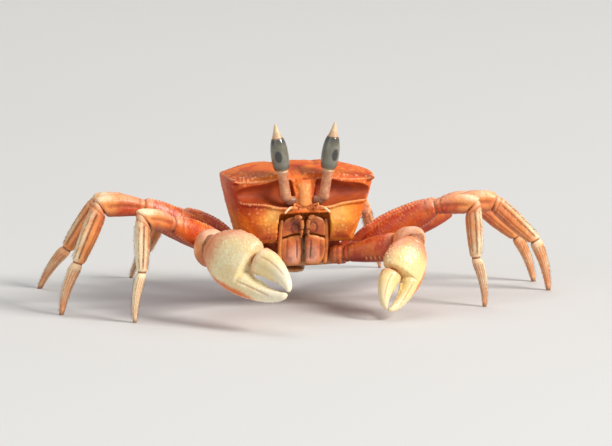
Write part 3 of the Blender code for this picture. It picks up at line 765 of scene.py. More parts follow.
def shield_mesh():
    first, last = CARAPACE[0, 0] * LENGTH, CARAPACE[-1, 0] * LENGTH
    y = first + (last - first) * (0.5 - 0.5 * np.cos(np.linspace(0, math.pi, 80)))
    ridge, top, dome, low, floor = (c[:, None] for c in shield_at(y).T)
    k, a, b = np.linspace(0, 1, 30)[None], np.linspace(0, 1, 22)[None, 1:], np.linspace(1, 0, 10)[None, 1:]
    x = np.concatenate((ridge * k, ridge + (low - ridge) * a**1.25, low * b), 1)
    z = np.concatenate((top + dome * (1 - k**2.4), top + (floor - top) * a, floor + 0 * b), 1)
    x = np.concatenate((x, -x[:, -2:0:-1]), 1)
    z = np.concatenate((z, z[:, -2:0:-1]), 1)
    rows = np.stack((x, np.repeat(y[:, None], x.shape[1], 1), z), -1)
    middle = np.array((0.0, first, 27.0))
    caps = [middle + (rows[0] - middle) * s - (0, 0.9 * (1 - s**2.4), 0) for s in (0.06, 0.2, 0.36, 0.52, 0.68, 0.82, 0.92, 0.97)]
    back = rows[-1].mean(0)
    tail = [back + (rows[-1] - back) * s + (0, 0.25 * (1 - s * s), 0) for s in (0.85, 0.5, 0.1)]
    return grid_mesh(np.concatenate((caps, rows, tail)))


def across(stations, count, x=None):
    """A closed bar along X: x, y, z of the middle, half depth, half height."""
    stations = np.asarray(stations, float)
    x = np.linspace(stations[0, 0], stations[-1, 0], 60) if x is None else x
    y, z, deep, tall = pchip(stations[:, 0], stations[:, 1:], x).T
    a = np.arange(count) * TAU / count
    rows = np.stack((
        np.repeat(x[:, None], count, 1), y[:, None] + deep[:, None] * np.cos(a), z[:, None] + tall[:, None] * np.sin(a),
    ), -1)
    return grid_mesh(rows)


def mouth_frame():
    z, half = pchip((10.0, 14.0, 21.0, 25.4), np.array(((10.0, 6.6), (14.0, 7.3), (21.0, 7.4), (25.4, 6.8))), np.linspace(10, 25.4, 30)).T
    a = np.arange(48) * TAU / 48
    c, s = np.cos(a), np.sin(a)
    c, s = np.sign(c) * abs(c) ** (2 / 4.5), np.sign(s) * abs(s) ** (2 / 4.5)
    y = -17.4 + 0.22 * (27.0 - z)
    rows = np.stack((
        half[:, None] * c, y[:, None] + np.where(s > 0, 2.9, 6.0) * s, np.repeat(z[:, None], 48, 1),
    ), -1)
    return grid_mesh(rows)


def mirrored(points, side):
    return np.asarray(points, float) * (side, 1, 1)


LOWER_RIM = ((2.6, -18.2, 27.3), (4.2, -18.2, 26.75), (6.8, -18.0, 26.95), (10.6, -17.7, 27.75), (14.4, -17.25, 28.1), (16.9, -16.3, 28.3), (17.3, -15.0, 28.6))
UPPER_RIM = ((2.7, -17.7, 33.9), (3.9, -16.7, 34.4), (6.6, -16.35, 34.45), (10.4, -16.75, 34.05), (14.2, -16.6, 33.8), (17.2, -16.3, 33.85), (18.6, -17.4, 34.1))


def build_carapace():
    cutters, extras = [mouth_frame()], []
    for side in (1, -1):
        orbit = ORBIT.copy()
        mesh = across(orbit, 40)
        cutters.append((mesh[0] * (side, 1, 1), mesh[1], mesh[2]))
        t = np.linspace(0, 1, 14)
        tooth = np.stack((17.0 + 2.2 * t, -13.0 - 5.1 * t, 33.8 + 0.5 * t), 1)
        extras.append(loft(mirrored(tooth, side), np.stack((2.1 - 1.85 * t**0.8, 1.35 - 1.15 * t), 1), 20))
        for rim, size in ((LOWER_RIM, 0.52), (UPPER_RIM, 0.50)):
            share, full = rounded_ends(40, 0.12)
            extras.append(loft(mirrored(path_at(rim, share), side), size * full, 14))
    # narrow front lobe between the eyes, and the bar above the mouth
    t = np.linspace(0, 1, 24)
    lobe = np.stack((0 * t, -17.1 - 1.05 * np.sin(t * math.pi * 0.72), 34.4 - 7.9 * t), 1)
    extras.append(loft(lobe, np.stack((2.5 - 1.05 * smooth(0.0, 0.42, t) + 0.30 * smooth(0.45, 0.78, t) - 1.45 * smooth(0.80, 1.0, t), 0.85 + 0.25 * t - 0.85 * smooth(0.84, 1, t)), 1), 26, up=np.array((0, -1.0, 0))))
    extras.append(ball((0, -17.9, 26.0), (4.6, 0.75, 0.55)))
    mesh = fused([shield_mesh(), *extras], 0.25, 3, cutters)
    x, y, z = mesh[0].T
    rear = smooth(1.0, 13.0, y)
    mesh = softened(mesh, 34, 0.02 + 0.48 * rear)
    mesh = softened(mesh, 7, 0.5 * smooth(-14.6, -13.0, y) * (1 - rear))
    p, q, t = mesh
    n = normals_of(mesh)
    x, y, z = p.T
    ax = abs(x)
    top = smooth(0.35, 0.75, n[:, 2])
    ridge, ridge_z, dome, low, floor = shield_at(np.clip(y, -17.2, 17.29)).T
    outer = smooth(0.45, 0.95, ax / ridge)
    face = smooth(-15.5, -16.9, y) * smooth(0.2, 0.7, -n[:, 1])
    flank = smooth(0.30, -0.10, n[:, 2]) * (1 - face)
    drop = np.zeros(len(p))
    # furrows that part the regions of the back
    furrows = (
        (((4.4, -8.5), (5.7, -5.0), (6.1, -1.5), (5.1, 1.8)), 0.30, 1.00),
        (((5.1, 1.8), (4.7, 5.0), (3.8, 8.2)), 0.42, 0.85),
        (((6.1, -1.5), (9.0, -3.0), (12.0, -5.6)), 0.20, 1.2),
        (((5.1, 1.8), (2.5, 2.7), (0.0, 3.0)), 0.24, 0.85),
        (((0.0, -17.0), (0.0, -13.5), (0.3, -11.0)), 0.30, 0.80),
        (((3.8, 8.2), (5.0, 11.0), (6.2, 13.6)), 0.20, 1.1),
    )
    flat, near, dent = np.stack((ax, y, 0 * x), 1), top > 0.01, 0 * x
    for line, deep, wide in furrows:
        points = path_points([(a, b, 0.0) for a, b in line], 60)
        d = np.full(len(p), 9.0)
        d[near], _ = distance_to(flat[near], points)
        dent = np.maximum(dent, deep * np.exp(-((d / wide) ** 2)))
    drop -= dent * top
    # swollen gill regions and stomach
    drop += top * 0.35 * np.exp(-(((ax - 11.5) / 5.0) ** 2 + ((y - 1.5) / 8.5) ** 2))
    drop += top * 0.22 * np.exp(-((ax / 3.2) ** 2 + ((y + 5.5) / 5.0) ** 2))
    drop += top * 0.15 * np.exp(-((ax / 2.8) ** 2 + ((y - 6.5) / 2.6) ** 2))
    drop += 0.10 * layered(p, 5.0, 3) * (1 - face)
    drop += face * 0.45 * np.exp(-(((ax - 11.8) / 3.2) ** 2 + ((z - 22.6) / 3.0) ** 2))
    drop += top * (0.16 * np.exp(-(((y - 16.9) / 0.45) ** 2)) - 0.20 * np.exp(-(((y - 16.0) / 0.35) ** 2)))
    furrow = -np.clip((dent - 0.08) / 0.40, 0, 1) * top
    # groove along the flank and across the cheek
    line = path_points(((15.2, -15.0, 25.5), (15.8, -9.0, 23.4), (15.9, 0.0, 22.6), (14.6, 7.0, 23.2), (11.0, 13.0, 24.2)), 60)
    side_on = np.stack((ax, y, z), 1)
    d, _ = distance_to(side_on, line)
    cut = -0.24 * np.exp(-((d / 0.5) ** 2)) * (1 - top)
    drop += cut
    # granules: coarse at the sides and in front, fine in the middle of the back
    stones, own = pebbles(p, 1.05, 11)
    fine, _ = pebbles(p, 0.70, 12)
    strength = 0.055 + 0.105 * outer * top + 0.085 * flank + 0.075 * face + 0.07 * smooth(-6.0, -15.0, y) * top
    in_socket = np.zeros(len(p))
    oy, oz, od, oh = pchip(ORBIT[:, 0], ORBIT[:, 1:], np.clip(ax, 2.7, 23)).T
    inside = ((y - oy) / (od + 0.05)) ** 2 + ((z - oz) / (oh + 0.05)) ** 2
    in_socket = smooth(1.12, 0.99, inside) * smooth(2.2, 2.9, ax)
    grains = (strength * stones * (0.40 + 0.80 * own) + 0.045 * fine) * (1 - 0.9 * in_socket)
    # beads along the sharp edges
    beads, sizes = [], []
    for side in (1, -1):
        yy = np.linspace(-15.8, 9.0, 400)
        r, rz, _, _, _ = shield_at(yy).T
        edge = path_points(np.stack((side * (r - 0.02), yy, rz + 0.02), 1), 33)
        beads += list(edge)
        sizes += [(0.50, 0.24 - 0.14 * k / len(edge)) for k in range(len(edge))]
        for rim, gap in ((LOWER_RIM, 0.62), (UPPER_RIM, 0.60)):
            count = int(np.linalg.norm(np.diff(np.array(rim), axis=0), axis=1).sum() / gap)
            line = path_points(mirrored(rim, side), count)
            lifted = line + np.array((0, -0.45, 0.18 if rim is LOWER_RIM else 0.22))
            beads += list(lifted)
            sizes += [(0.36, 0.16)] * len(line)
    d, which = distance_to(p, np.array(beads))
    sizes = np.array(sizes)[which]
    bead = sizes[:, 1] * np.clip(1 - (d / sizes[:, 0]) ** 2, 0, 1) ** 0.7
    p2 = p + n * (drop + grains * (bead < 0.02) + bead)[:, None]
    # furrows and the flank groove give negative relief, which the shell darkens as painted shade
    relief = np.clip(furrow * 0.55 + np.clip(cut / 0.26, -1, 0) * 0.6 + np.clip((grains + bead - 0.035) / 0.12, -0.30, 1.0) * 0.95, -1, 1)
    cloud = layered(p, 6.0, 40)
    # gold patch on each cheek: partly the face's own paler colour, partly a painted highlight
    gold = face * smooth(7.5, 1.0, np.hypot(ax - 8.8, (z - 24.0) * 1.1) - 1.6 * cloud) * 0.9
    gold = np.maximum(gold, 0.55 * flank * smooth(29, 22, z))
    gold = np.maximum(gold, 0.35 * top * smooth(-13.5, -16.5, y) * smooth(3, 9, ax) * smooth(17, 12, ax))
    pale = face * smooth(2.4, 1.2, ax) * smooth(25.5, 27.5, z) * smooth(34.5, 32.5, z) * 0.38
    # pale spot on each cheek: partly its own colour, partly a painted highlight
    pale = np.maximum(pale, 0.40 * face * smooth(3.6, 0.6, np.hypot(ax - 8.6, z - 25.3) - 0.8 * cloud))
    dark = 0.75 * top * smooth(-12.0, -16.2, y + 1.6 * cloud) * (0.45 + 0.55 * smooth(8, 15, ax))
    dark = np.maximum(dark, 0.55 * smooth(0.45, 0.75, noise(p, 5.5, 77)) * top)
    dark = np.maximum(dark, 0.5 * face * smooth(24.0, 21.0, z) * smooth(7.0, 9.5, ax))
    # painted shade on the crab's right front shoulder, the side away from the key light
    shaded_right_shoulder = smooth(-7.5, -14.5, p[:, 0] + 1.5 * cloud) * smooth(23.5, 27.5, z) * smooth(-4.0, -11.0, y + 1.5 * cloud)
    dark = np.maximum(dark, 0.62 * shaded_right_shoulder * (1 - 0.7 * top))
    # painted shade in the crab's right orbit, taking over from the lining there
    deep = in_socket * smooth(-4.0, -10.0, p[:, 0])
    dark = np.maximum(dark, 0.75 * deep)
    hollow = np.clip(in_socket - 0.5 * deep, 0, 1)
    # painted shade on the faces that turn downward, added to dark below
    under = smooth(-0.2, -0.8, n[:, 2])
    emit("carapace_shell", (turned_with_body(p2), q, t), SHELL, ("carapace",),
         dict(relief=relief, gold=gold, pale=pale, dark=np.clip(dark + 0.4 * under, 0, 1), hollow=hollow))


# ---- thorax, abdomen and mouth ---------------------------------------------------------------
def leg_joints(number, side):
    kind = LEG_KINDS[number]
    heading, *rises = STANCE[side][number]
    mirror = 1 if side == "left" else -1
    x, y, z = kind["hip"]
    points = [turned_with_body((x * mirror, y, z))]
    turn = math.radians(heading)
    out = np.array((mirror * math.cos(turn), -math.sin(turn), 0.0))
    for length, rise in zip(kind["lengths"], rises):
        a = math.radians(rise)
        points.append(points[-1] + out * (length * math.cos(a)) + UP * (length * math.sin(a)))
    last = kind["lengths"][3]
    drop = points[-1][2]
    foot = points[-1] + out * math.sqrt(last * last - drop * drop)
    points[-1:] = [points[-1], np.array((foot[0], foot[1], 0.0))]
    return points, out


def build_thorax():
    y = np.linspace(THORAX[0, 0], THORAX[-1, 0], 60)
    half, middle, edge = pchip(THORAX[:, 0], THORAX[:, 1:], y).T
    floor = shield_at(y)[:, 4] + 1.0
    a = np.linspace(0, 1, 12)
    outline = np.stack([
        np.concatenate((h * a * 1.0, [h + 0.35, h + 0.5, h + 0.4], h * (1 - a))) for h in half
    ])
    height = np.stack([
        np.concatenate((
            f + 0 * a, [f - 0.3, (f + e) / 2, e + 0.5],
            m + (e - m) * (1 - a) ** 1.8 - 0.1 * np.sin(math.pi * a),
        )) for f, m, e in zip(floor, middle, edge)
    ])
    x = np.concatenate((outline, -outline[:, -2:0:-1]), 1)
    z = np.concatenate((height, height[:, -2:0:-1]), 1)
    rows = np.stack((x, np.repeat(y[:, None], x.shape[1], 1), z), -1)
    base = grid_mesh(rows)
    base = (turned_with_body(base[0]), base[1], base[2])
    knobs, marks = [], []
    for side, mirror in (("left", 1), ("right", -1)):
        for i in range(5):
            if i < 4:
                kind = LEG_KINDS[i]
                hx, hy, hz = kind["hip"]
                joints, _ = leg_joints(i, side)
                tip, way = joints[0], unit(joints[1] - joints[0])
                tall, wide, inward = 2.35 * kind["girth"], 2.15 * kind["girth"], 5.6
            else:
                arm = CHELIPEDS[side]
                hx, hy, hz = abs(arm["hip"][0]), arm["hip"][1], arm["hip"][2]
                tip = turned_with_body(arm["hip"])
                way = unit(np.array(arm["elbow"]) - tip)
                tall, wide, inward = 2.6, 2.5, 3.4
            root = turned_with_body(((hx - inward) * mirror, hy * 0.90, hz + 0.2))
            t = np.linspace(0, 1, 26)
            end = tip - way * 0.2
            line = root + (end - root) * t[:, None]
            swell = pchip((0, 0.35, 0.72, 0.93, 1.0), (0.80, 1.0, 1.05, 0.98, 0.84), t)
            swell = swell * (1 - 0.10 * np.exp(-(((t - 0.58) / 0.05) ** 2))) * (1 - 0.22 * smooth(0.90, 1.0, t))
            knobs.append(loft(line, np.stack((wide * swell, tall * swell), 1), 24, square=2.4))
            marks.append((root, tip))
    mesh = fused([base, *knobs], 0.24, 3)
    p, q, t = mesh
    n = normals_of(mesh)
    c, s = math.cos(-PITCH), math.sin(-PITCH)
    level = p - PITCH_CENTRE
    level = np.stack((level[:, 0], c * level[:, 1] - s * level[:, 2], s * level[:, 1] + c * level[:, 2]), 1) + PITCH_CENTRE
    ax, y = abs(level[:, 0]), level[:, 1]
    below = smooth(-0.25, -0.7, n[:, 2])
    cut = np.zeros(len(p))
    flat = np.stack((ax, y, 0 * y), 1)
    for start in (-7.2, -3.6, 0.4, 4.3, 8.0):  # seams between the plates of the breast
        line = path_points(((3.2, start + 1.4, 0), (6.0, start + 0.5, 0), (9.0, start - 0.6, 0), (11.4, start - 1.0, 0)), 30)
        d, _ = distance_to(flat, line)
        cut -= 0.30 * np.exp(-((d / 0.38) ** 2)) * below * smooth(12.4, 11.0, ax)
    stones, own = pebbles(p, 0.9, 21)
    grains = 0.05 * stones * own
    warm = smooth(8.0, 11.5, ax) * 0.85 + 0.30 * smooth(0.0, 0.6, layered(p, 4.0, 50)) + 0.9 * smooth(13.0, 16.0, level[:, 2]) + 0.55 * smooth(-9.0, -10.4, y)
    emit("thorax_plates", (p + n * (cut + grains)[:, None], q, t), UNDER, ("thorax",),
         dict(relief=np.clip(cut / 0.28 + grains * 6, -1, 1), warm=np.clip(warm, 0, 1)))


def build_abdomen():
    path = np.array(((16.6, 21.9, 6.7, 0.9), (17.7, 21.2, 6.8, 1.0), (18.1, 19.4, 6.8, 1.0), (17.2, 16.6, 6.6, 1.0),
                     (15.6, 13.7, 6.4, 1.0), (12.9, 11.0, 6.0, 0.95), (9.4, 9.25, 5.4, 0.85), (5.0, 8.65, 4.6, 0.8),
                     (1.0, 8.6, 3.7, 0.75), (-3.0, 8.65, 2.7, 0.7), (-6.5, 8.8, 1.5, 0.55)))
    s = np.concatenate(((0,), np.cumsum(np.hypot(*np.diff(path[:, :2], axis=0).T))))
    along = np.linspace(0, s[-1], 190)
    y, z, half, thick = pchip(s, path, along).T
    way = np.stack((0 * y, np.gradient(y), np.gradient(z)), 1)
    way /= np.linalg.norm(way, axis=1, keepdims=True)
    up = -np.cross((1.0, 0, 0), way)
    seams = s[[2, 3, 4, 5, 7, 9]]
    d = np.abs(along[:, None] - seams[None]).min(1)
    end = np.minimum(along, s[-1] - along)
    full = np.sqrt(np.clip(1 - (np.clip(0.9 - end, 0, 0.9) / 0.9) ** 2, 0.02, 1))
    corner = np.sqrt(np.clip(1 - (np.clip(2.6 - end, 0, 2.6) / 2.6) ** 2, 0.02, 1))
    half = half * (1 - 0.045 * np.exp(-((d / 0.40) ** 2))) * (0.80 + 0.20 * corner) / np.maximum(full, 0.2) * np.maximum(full, 0.55)
    a = np.arange(90) * TAU / 90
    c, sn = np.cos(a), np.sin(a)
    cc, ss = np.sign(c) * abs(c) ** (2 / 2.4), np.sign(sn) * abs(sn) ** (2 / 2.1)
    centre = np.stack((0 * y, y, z), 1)
    rows = centre[:, None] + np.array((1.0, 0, 0)) * (half * full)[:, None, None] * cc[None, :, None] + up[:, None] * (thick * full)[:, None, None] * ss[None, :, None]
    p, q, t = outward(grid_mesh(rows))
    n = normals_of((p, q, t))
    near = np.concatenate((np.repeat(d, 90), (9.0, 9.0)))
    cut = -0.20 * np.exp(-((near / 0.20) ** 2))
    ax = abs(p[:, 0])
    share = ax / np.concatenate((np.repeat(half, 90), (1, 1)))
    cut -= 0.10 * np.exp(-(((share - 0.55) / 0.10) ** 2))
    stones, own = pebbles(p, 0.8, 31)
    grains = 0.05 * stones * own
    after = np.concatenate((np.repeat(np.min(np.where(along[:, None] > seams[None], along[:, None] - seams[None], 9.0), 1), 90), (9.0, 9.0)))
    swell = 0.07 * smooth(0.0, 1.3, near) + 0.07 * smooth(2.4, 0.3, after) + 0.04
    p = p + n * (cut + grains + swell - 0.16)[:, None]
    warm = 0.35 * smooth(0.0, 0.6, layered(p, 3.5, 60)) + 0.95 * smooth(11.0, 15.0, p[:, 1]) - 0.35 * smooth(1.0, 0.3, near)
    emit("abdomen_plates", (turned_with_body(p), q, t), UNDER, ("abdomen",),
         dict(relief=np.clip(cut / 0.22 + grains * 5, -1, 1), warm=np.clip(warm, 0, 1)))


def closed_curve(corners, count, soft):
    """An even closed outline with these corners, rounded off."""
    ring = np.asarray(corners, float)
    ring = np.concatenate((ring, ring[:1]))
    d = np.concatenate(((0,), np.cumsum(np.linalg.norm(np.diff(ring, axis=0), axis=1))))
    at = np.linspace(0, d[-1], count, endpoint=False)
    line = np.stack([np.interp(at, d, ring[:, c]) for c in (0, 1)], 1)
    reach = max(1, int(soft / d[-1] * count))
    for _ in range(3):
        line = sum(np.roll(line, k, 0) for k in range(-reach, reach + 1)) / (2 * reach + 1)
    return line


def mouth_plane(z):
    return -16.6 + 0.22 * (25.0 - z)


def mouth_plate(corners, front, back, mirror):
    """A domed plate that lies in the mouth: its mesh, and each point's share of the way
    from its middle to its edge."""
    outline = closed_curve(corners, 110, 0.42)
    middle = outline.mean(0)
    out = np.concatenate((np.linspace(0.03, 0.82, 18), 0.82 + 0.18 * np.sin(np.linspace(0.12, math.pi / 2, 10))))
    s = np.concatenate((out, out[-2::-1]))
    front_side = np.arange(len(s)) < len(out)
    full = (1 - s**7) ** 0.5
    flat = middle + (outline - middle)[None] * s[:, None, None]
    y = mouth_plane(flat[..., 1]) + np.where(front_side, -front * full, back * full)[:, None]
    rows = np.stack((flat[..., 0] * mirror, y, flat[..., 1]), -1)
    edge = np.concatenate((np.repeat(np.where(front_side, s, 1.2), len(outline)), (0.0, 1.2)))
    return outward(grid_mesh(rows)), edge


ISCHIUM = ((0.34, 11.7), (0.20, 15.0), (0.20, 18.8), (1.0, 19.55), (3.2, 19.35), (6.05, 18.4), (6.20, 15.0), (5.65, 12.4), (4.3, 10.95), (1.5, 10.9))
MOUTH_MERUS = ((0.34, 19.85), (0.26, 22.7), (1.0, 24.4), (3.4, 24.65), (5.4, 23.7), (6.15, 21.4), (6.10, 18.7), (3.4, 19.55), (1.2, 19.85))
MOUTH_HAIR = []


def build_mouth():
    rng = np.random.default_rng(11)
    for side, mirror in (("left", 1), ("right", -1)):
        lower, edge_a = mouth_plate(ISCHIUM, 1.22, 0.95, mirror)
        upper, edge_b = mouth_plate(MOUTH_MERUS, 1.16, 0.90, mirror)
        share, full = rounded_ends(60, 0.08)
        z = 11.2 + 12.6 * share
        line = np.stack((5.85 + 0.50 * np.sin(math.pi * (0.10 + 0.80 * share)), mouth_plane(z) - 0.15, z), 1)
        bar = outward(loft(mirrored(line, mirror), np.stack((0.62 * full, 0.75 * full), 1), 30, up=np.array((0, -1.0, 0))))
        mesh = joined(lower, upper, bar)
        part = np.repeat((0, 1, 2), (len(lower[0]), len(upper[0]), len(bar[0])))
        edge = np.concatenate((edge_a, edge_b, np.full(len(bar[0]), 0.5)))
        p, q, t = mesh
        n = normals_of(mesh)
        ax, z, front = abs(p[:, 0]), p[:, 2], smooth(0.2, 0.7, -n[:, 1])
        cut = -0.26 * front * np.exp(-(((ax - 1.75 - 0.035 * (z - 12)) / 0.24) ** 2)) * smooth(12.0, 14.0, z) * smooth(18.6, 17.4, z) * (part == 0)
        cut -= 0.16 * front * np.exp(-(((ax - 4.6 + 0.03 * (z - 15)) / 0.35) ** 2)) * smooth(12.4, 14.0, z) * (part == 0)
        cut -= 0.20 * front * np.exp(-((np.hypot(ax - 2.3, (z - 21.3) * 0.8) - 1.15) / 0.26) ** 2) * (part == 1)
        lift = 0.30 * front * np.exp(-(((ax - 3.2) / 1.6) ** 2 + ((z - 15.4) / 3.2) ** 2)) * (part == 0)
        lift += 0.22 * front * np.exp(-(((ax - 3.9) / 1.2) ** 2 + ((z - 22.0) / 1.5) ** 2)) * (part == 1)
        stones, own = pebbles(p, 0.58, 41)
        grains = 0.07 * stones * own * front * smooth(0.97, 0.9, edge)
        p = p + n * (cut + lift + grains)[:, None]
        blot = layered(p, 2.2, 42)
        # dark: the plates' own dark blotches and darker upper part, plus painted shade on the sides that face away from
        # the front and along their rims
        dark = np.clip(0.45 * (1 - front) + 0.30 * smooth(0.96, 1.0, edge) + 0.45 * smooth(19.0, 24.0, z) + 0.40 * smooth(0.05, 0.5, blot), 0, 0.9)
        gold = front * (0.50 * smooth(0.72, 0.90, edge) * smooth(0.985, 0.95, edge) + 0.34 * (part == 2) * (1 - 0.8 * blot) + 0.20 * smooth(0.0, -0.5, blot))
        pink = front * 0.85 * smooth(3.4, 0.6, np.hypot((ax - 2.4) * 1.1, (z - 13.6) * 0.75)) * smooth(0.9, 0.8, edge)
        emit(f"maxilliped_plate_{side}", (turned_with_body(p), q, t), MOUTH, (f"maxilliped_{side}",),
             dict(relief=np.clip(cut / 0.24 + grains * 7, -1, 1), dark=dark, gold=np.clip(gold, 0, 1), pink=pink))
        # the palp, folded down along the inner edge of the upper plate
        bits = []
        for line, radii in (
            (((2.7, -18.0, 24.2), (1.8, -18.45, 24.45), (1.0, -18.4, 23.9)), (0.66, 0.58)),
            (((0.95, -18.4, 23.7), (0.80, -18.25, 22.4), (0.85, -17.95, 21.1)), (0.56, 0.46)),
            (((0.85, -17.9, 20.9), (0.95, -17.6, 19.8), (1.15, -17.3, 18.8)), (0.44, 0.24)),
        ):
            share, full = rounded_ends(30, 0.16)
            size = (radii[0] + (radii[1] - radii[0]) * share) * full
            bits.append(outward(loft(turned_with_body(mirrored(path_at(line, share), mirror)), size, 22, up=np.array((0, 0.2, 1.0)))))
        p, q, t = joined(*bits)
        n = normals_of((p, q, t))
        grain = 0.045 * layered(p, 0.6, 44)
        stones, own = pebbles(p, 0.34, 45)
        knobs = 0.045 * stones * own
        patch = layered(p, 1.1, 46)
        emit(f"mouth_palp_{side}", (p + n * (grain + knobs)[:, None], q, t), MOUTH, (),
             dict(relief=np.clip(grain * 7 + knobs * 10, -1, 1), dark=np.clip(0.16 + 0.35 * smooth(0.0, 0.5, patch), 0, 1),
                  gold=np.clip(0.38 - 0.30 * patch, 0, 1), pink=0.30 * smooth(0.1, 0.6, -patch)))
        # soft fringe between the two sides of the mouth, and on the palp
        for low, high, count, x in ((12.0, 18.8, 90, 0.46), (20.2, 23.6, 44, 0.50), (18.6, 20.6, 26, 1.05)):
            z = np.sort(rng.uniform(low, high, count))
            root = np.stack((np.full(count, x) + rng.normal(0, 0.05, count), mouth_plane(z) - 0.95, z), 1)
            way = np.array((-0.30, -0.62, -0.60)) + rng.normal(0, 0.20, (count, 3))
            MOUTH_HAIR.append((turned_with_body(root * (mirror, 1, 1)), way * (mirror, 1, 1), 0.75 + 0.5 * rng.random(count),
                               np.stack(((0.25 if mirror > 0 else 0.75) + 0.02 * x + rng.uniform(-0.05, 0.05, count), (z - 10.5) / 14.5), 1)))


# ---- eyes and feelers ------------------------------------------------------------------------
def build_eyes():
    for side, mirror in (("left", 1), ("right", -1)):
        base, tip = turned_with_body(EYE_BASE * (mirror, 1, 1)), turned_with_body(EYE_TIP * (mirror, 1, 1))
        axis, length = unit(tip - base), np.linalg.norm(tip - base)
        across_ = unit(np.array((1.0, 0, 0)) - axis * axis[0])
        up = np.cross(axis, across_)  # towards the crab's back
        count = 72
        a = np.arange(count) * TAU / count

        def turned(outline, rows, ends, lean=None):
            shares, radii = np.array(outline).T
            share = np.linspace(shares[0], shares[-1], rows)
            radius = pchip(shares, radii, share)
            end = np.minimum(share - shares[0], shares[-1] - share) * length
            full = np.sqrt(np.clip(1 - (np.clip(ends - end, 0, ends) / ends) ** 2, 0.02, 1)) if ends else 1.0 + 0 * share
            points = base + axis * (share * length)[:, None]
            if lean is not None:
                points = points + lean[0] * lean[1](share)[:, None]
            rows_ = points[:, None] + across_ * (radius * full)[:, None, None] * np.cos(a)[None, :, None] + up * (radius * full)[:, None, None] * np.sin(a)[None, :, None]
            return share, outward(grid_mesh(rows_))

        # stalk: a stout waisted rod, with a narrow strip that runs up the back of the eye
        share, rod = turned(EYE_OUTLINE["eyestalk"], 60, 0.45)
        _, core = turned(((0.36, 1.30), (0.42, 1.60), (0.50, 1.95), (0.70, 1.85), (0.80, 1.36), (0.86, 0.85)), 40, 0.2)
        hip, full = rounded_ends(30, 0.2)
        inner = turned_with_body(mirrored(path_at(((2.3, -17.6, 28.9), (3.7, -18.1, 28.9), (5.1, -18.5, 29.5)), hip), mirror))
        root = loft(inner, np.stack((1.15 * full, 1.25 * full), 1), 26)
        t = np.linspace(0, 1, 60)
        s = 0.385 + 0.445 * t
        eye_s, eye_r = np.array(EYE_OUTLINE["eye"]).T
        radius = pchip(eye_s, eye_r, np.clip(s, eye_s[0], eye_s[-1]))
        way = unit(up - across_ * 0.35 * mirror)
        line = base + axis * (s * length)[:, None] + way * (radius - 0.28)[:, None]
        size = np.stack((0.95 - 0.42 * t, 0.42 - 0.10 * t), 1) * np.sqrt(np.clip(1 - ((t - 0.5) / 0.5) ** 8, 0.02, 1))[:, None]
        strip = loft(line, size, 20, up=way)
        mesh = fused([rod, core, strip, root], 0.115, 3)
        p, q, t3 = mesh
        n = normals_of(mesh)
        along = (p - base) @ axis / length
        wrinkle = 0.025 * np.sin(along * length * 6.5 + 3.0 * layered(p, 1.2, 70)) * smooth(0.02, 0.10, along) * smooth(0.34, 0.28, along)
        grain = 0.035 * layered(p, 0.45, 71)
        p = p + n * (wrinkle + grain)[:, None]
        emit(f"stalk_{side}", (p, q, t3), STALK, (f"eyestalk_{side}",),
             dict(pale=np.clip(0.12 + 0.6 * smooth(0.36, 0.40, along) + grain * 6, 0, 1), dark=np.clip(0.8 * smooth(0.07, 0.0, along), 0, 1)))
        # the cornea, a tall glossy oval
        share, mesh = turned(((0.398, 1.74), (0.42, 2.00), (0.46, 2.22), (0.52, 2.36), (0.58, 2.41), (0.66, 2.34), (0.74, 2.08), (0.79, 1.78), (0.83, 1.42)), 110, 0.30)
        p, q, t3 = mesh
        along = (p - base) @ axis / length
        front = -up + across_ * 0.38 * mirror
        turn = (p - base - axis * (along * length)[:, None]) @ unit(front) / 2.4
        height = (along - 0.605) / 0.115
        # painted dark spot: the pseudopupil, which real eyes show only toward the viewer, fixed here in the colour
        pseudopupil_spot = smooth(1.0, 0.62, np.hypot(height, np.sqrt(np.clip(1 - np.clip(turn, 0, 1) ** 2, 0, 1)) / 0.50) + 0.10 * layered(p, 0.6, 74)) * (turn > 0)
        shade = 0.75 * smooth(0.69, 0.80, along) + 0.55 * smooth(0.50, 0.43, along)
        emit(f"cornea_{side}", (p, q, t3), CORNEA, (f"eye_{side}",),
             dict(pseudopupil_paint=0.90 * pseudopupil_spot, shade=np.clip(shade, 0, 1), band=np.clip(0.5 * smooth(0.435, 0.415, along) + 0.5 * smooth(0.80, 0.817, along), 0, 1)))
        # the pale point above it
        share, mesh = turned(EYE_OUTLINE["eye_tip"], 60, 0.14)
        p, q, t3 = mesh
        n = normals_of(mesh)
        along = (p - base) @ axis / length
        grain = 0.02 * layered(p, 0.5, 72)
        emit(f"eye_horn_{side}", (p + n * grain[:, None], q, t3), STALK, (f"eye_tip_{side}",),
             dict(pale=np.clip(0.55 + 0.35 * smooth(0.84, 0.92, along), 0, 1), dark=0.5 * smooth(0.825, 0.815, along)))


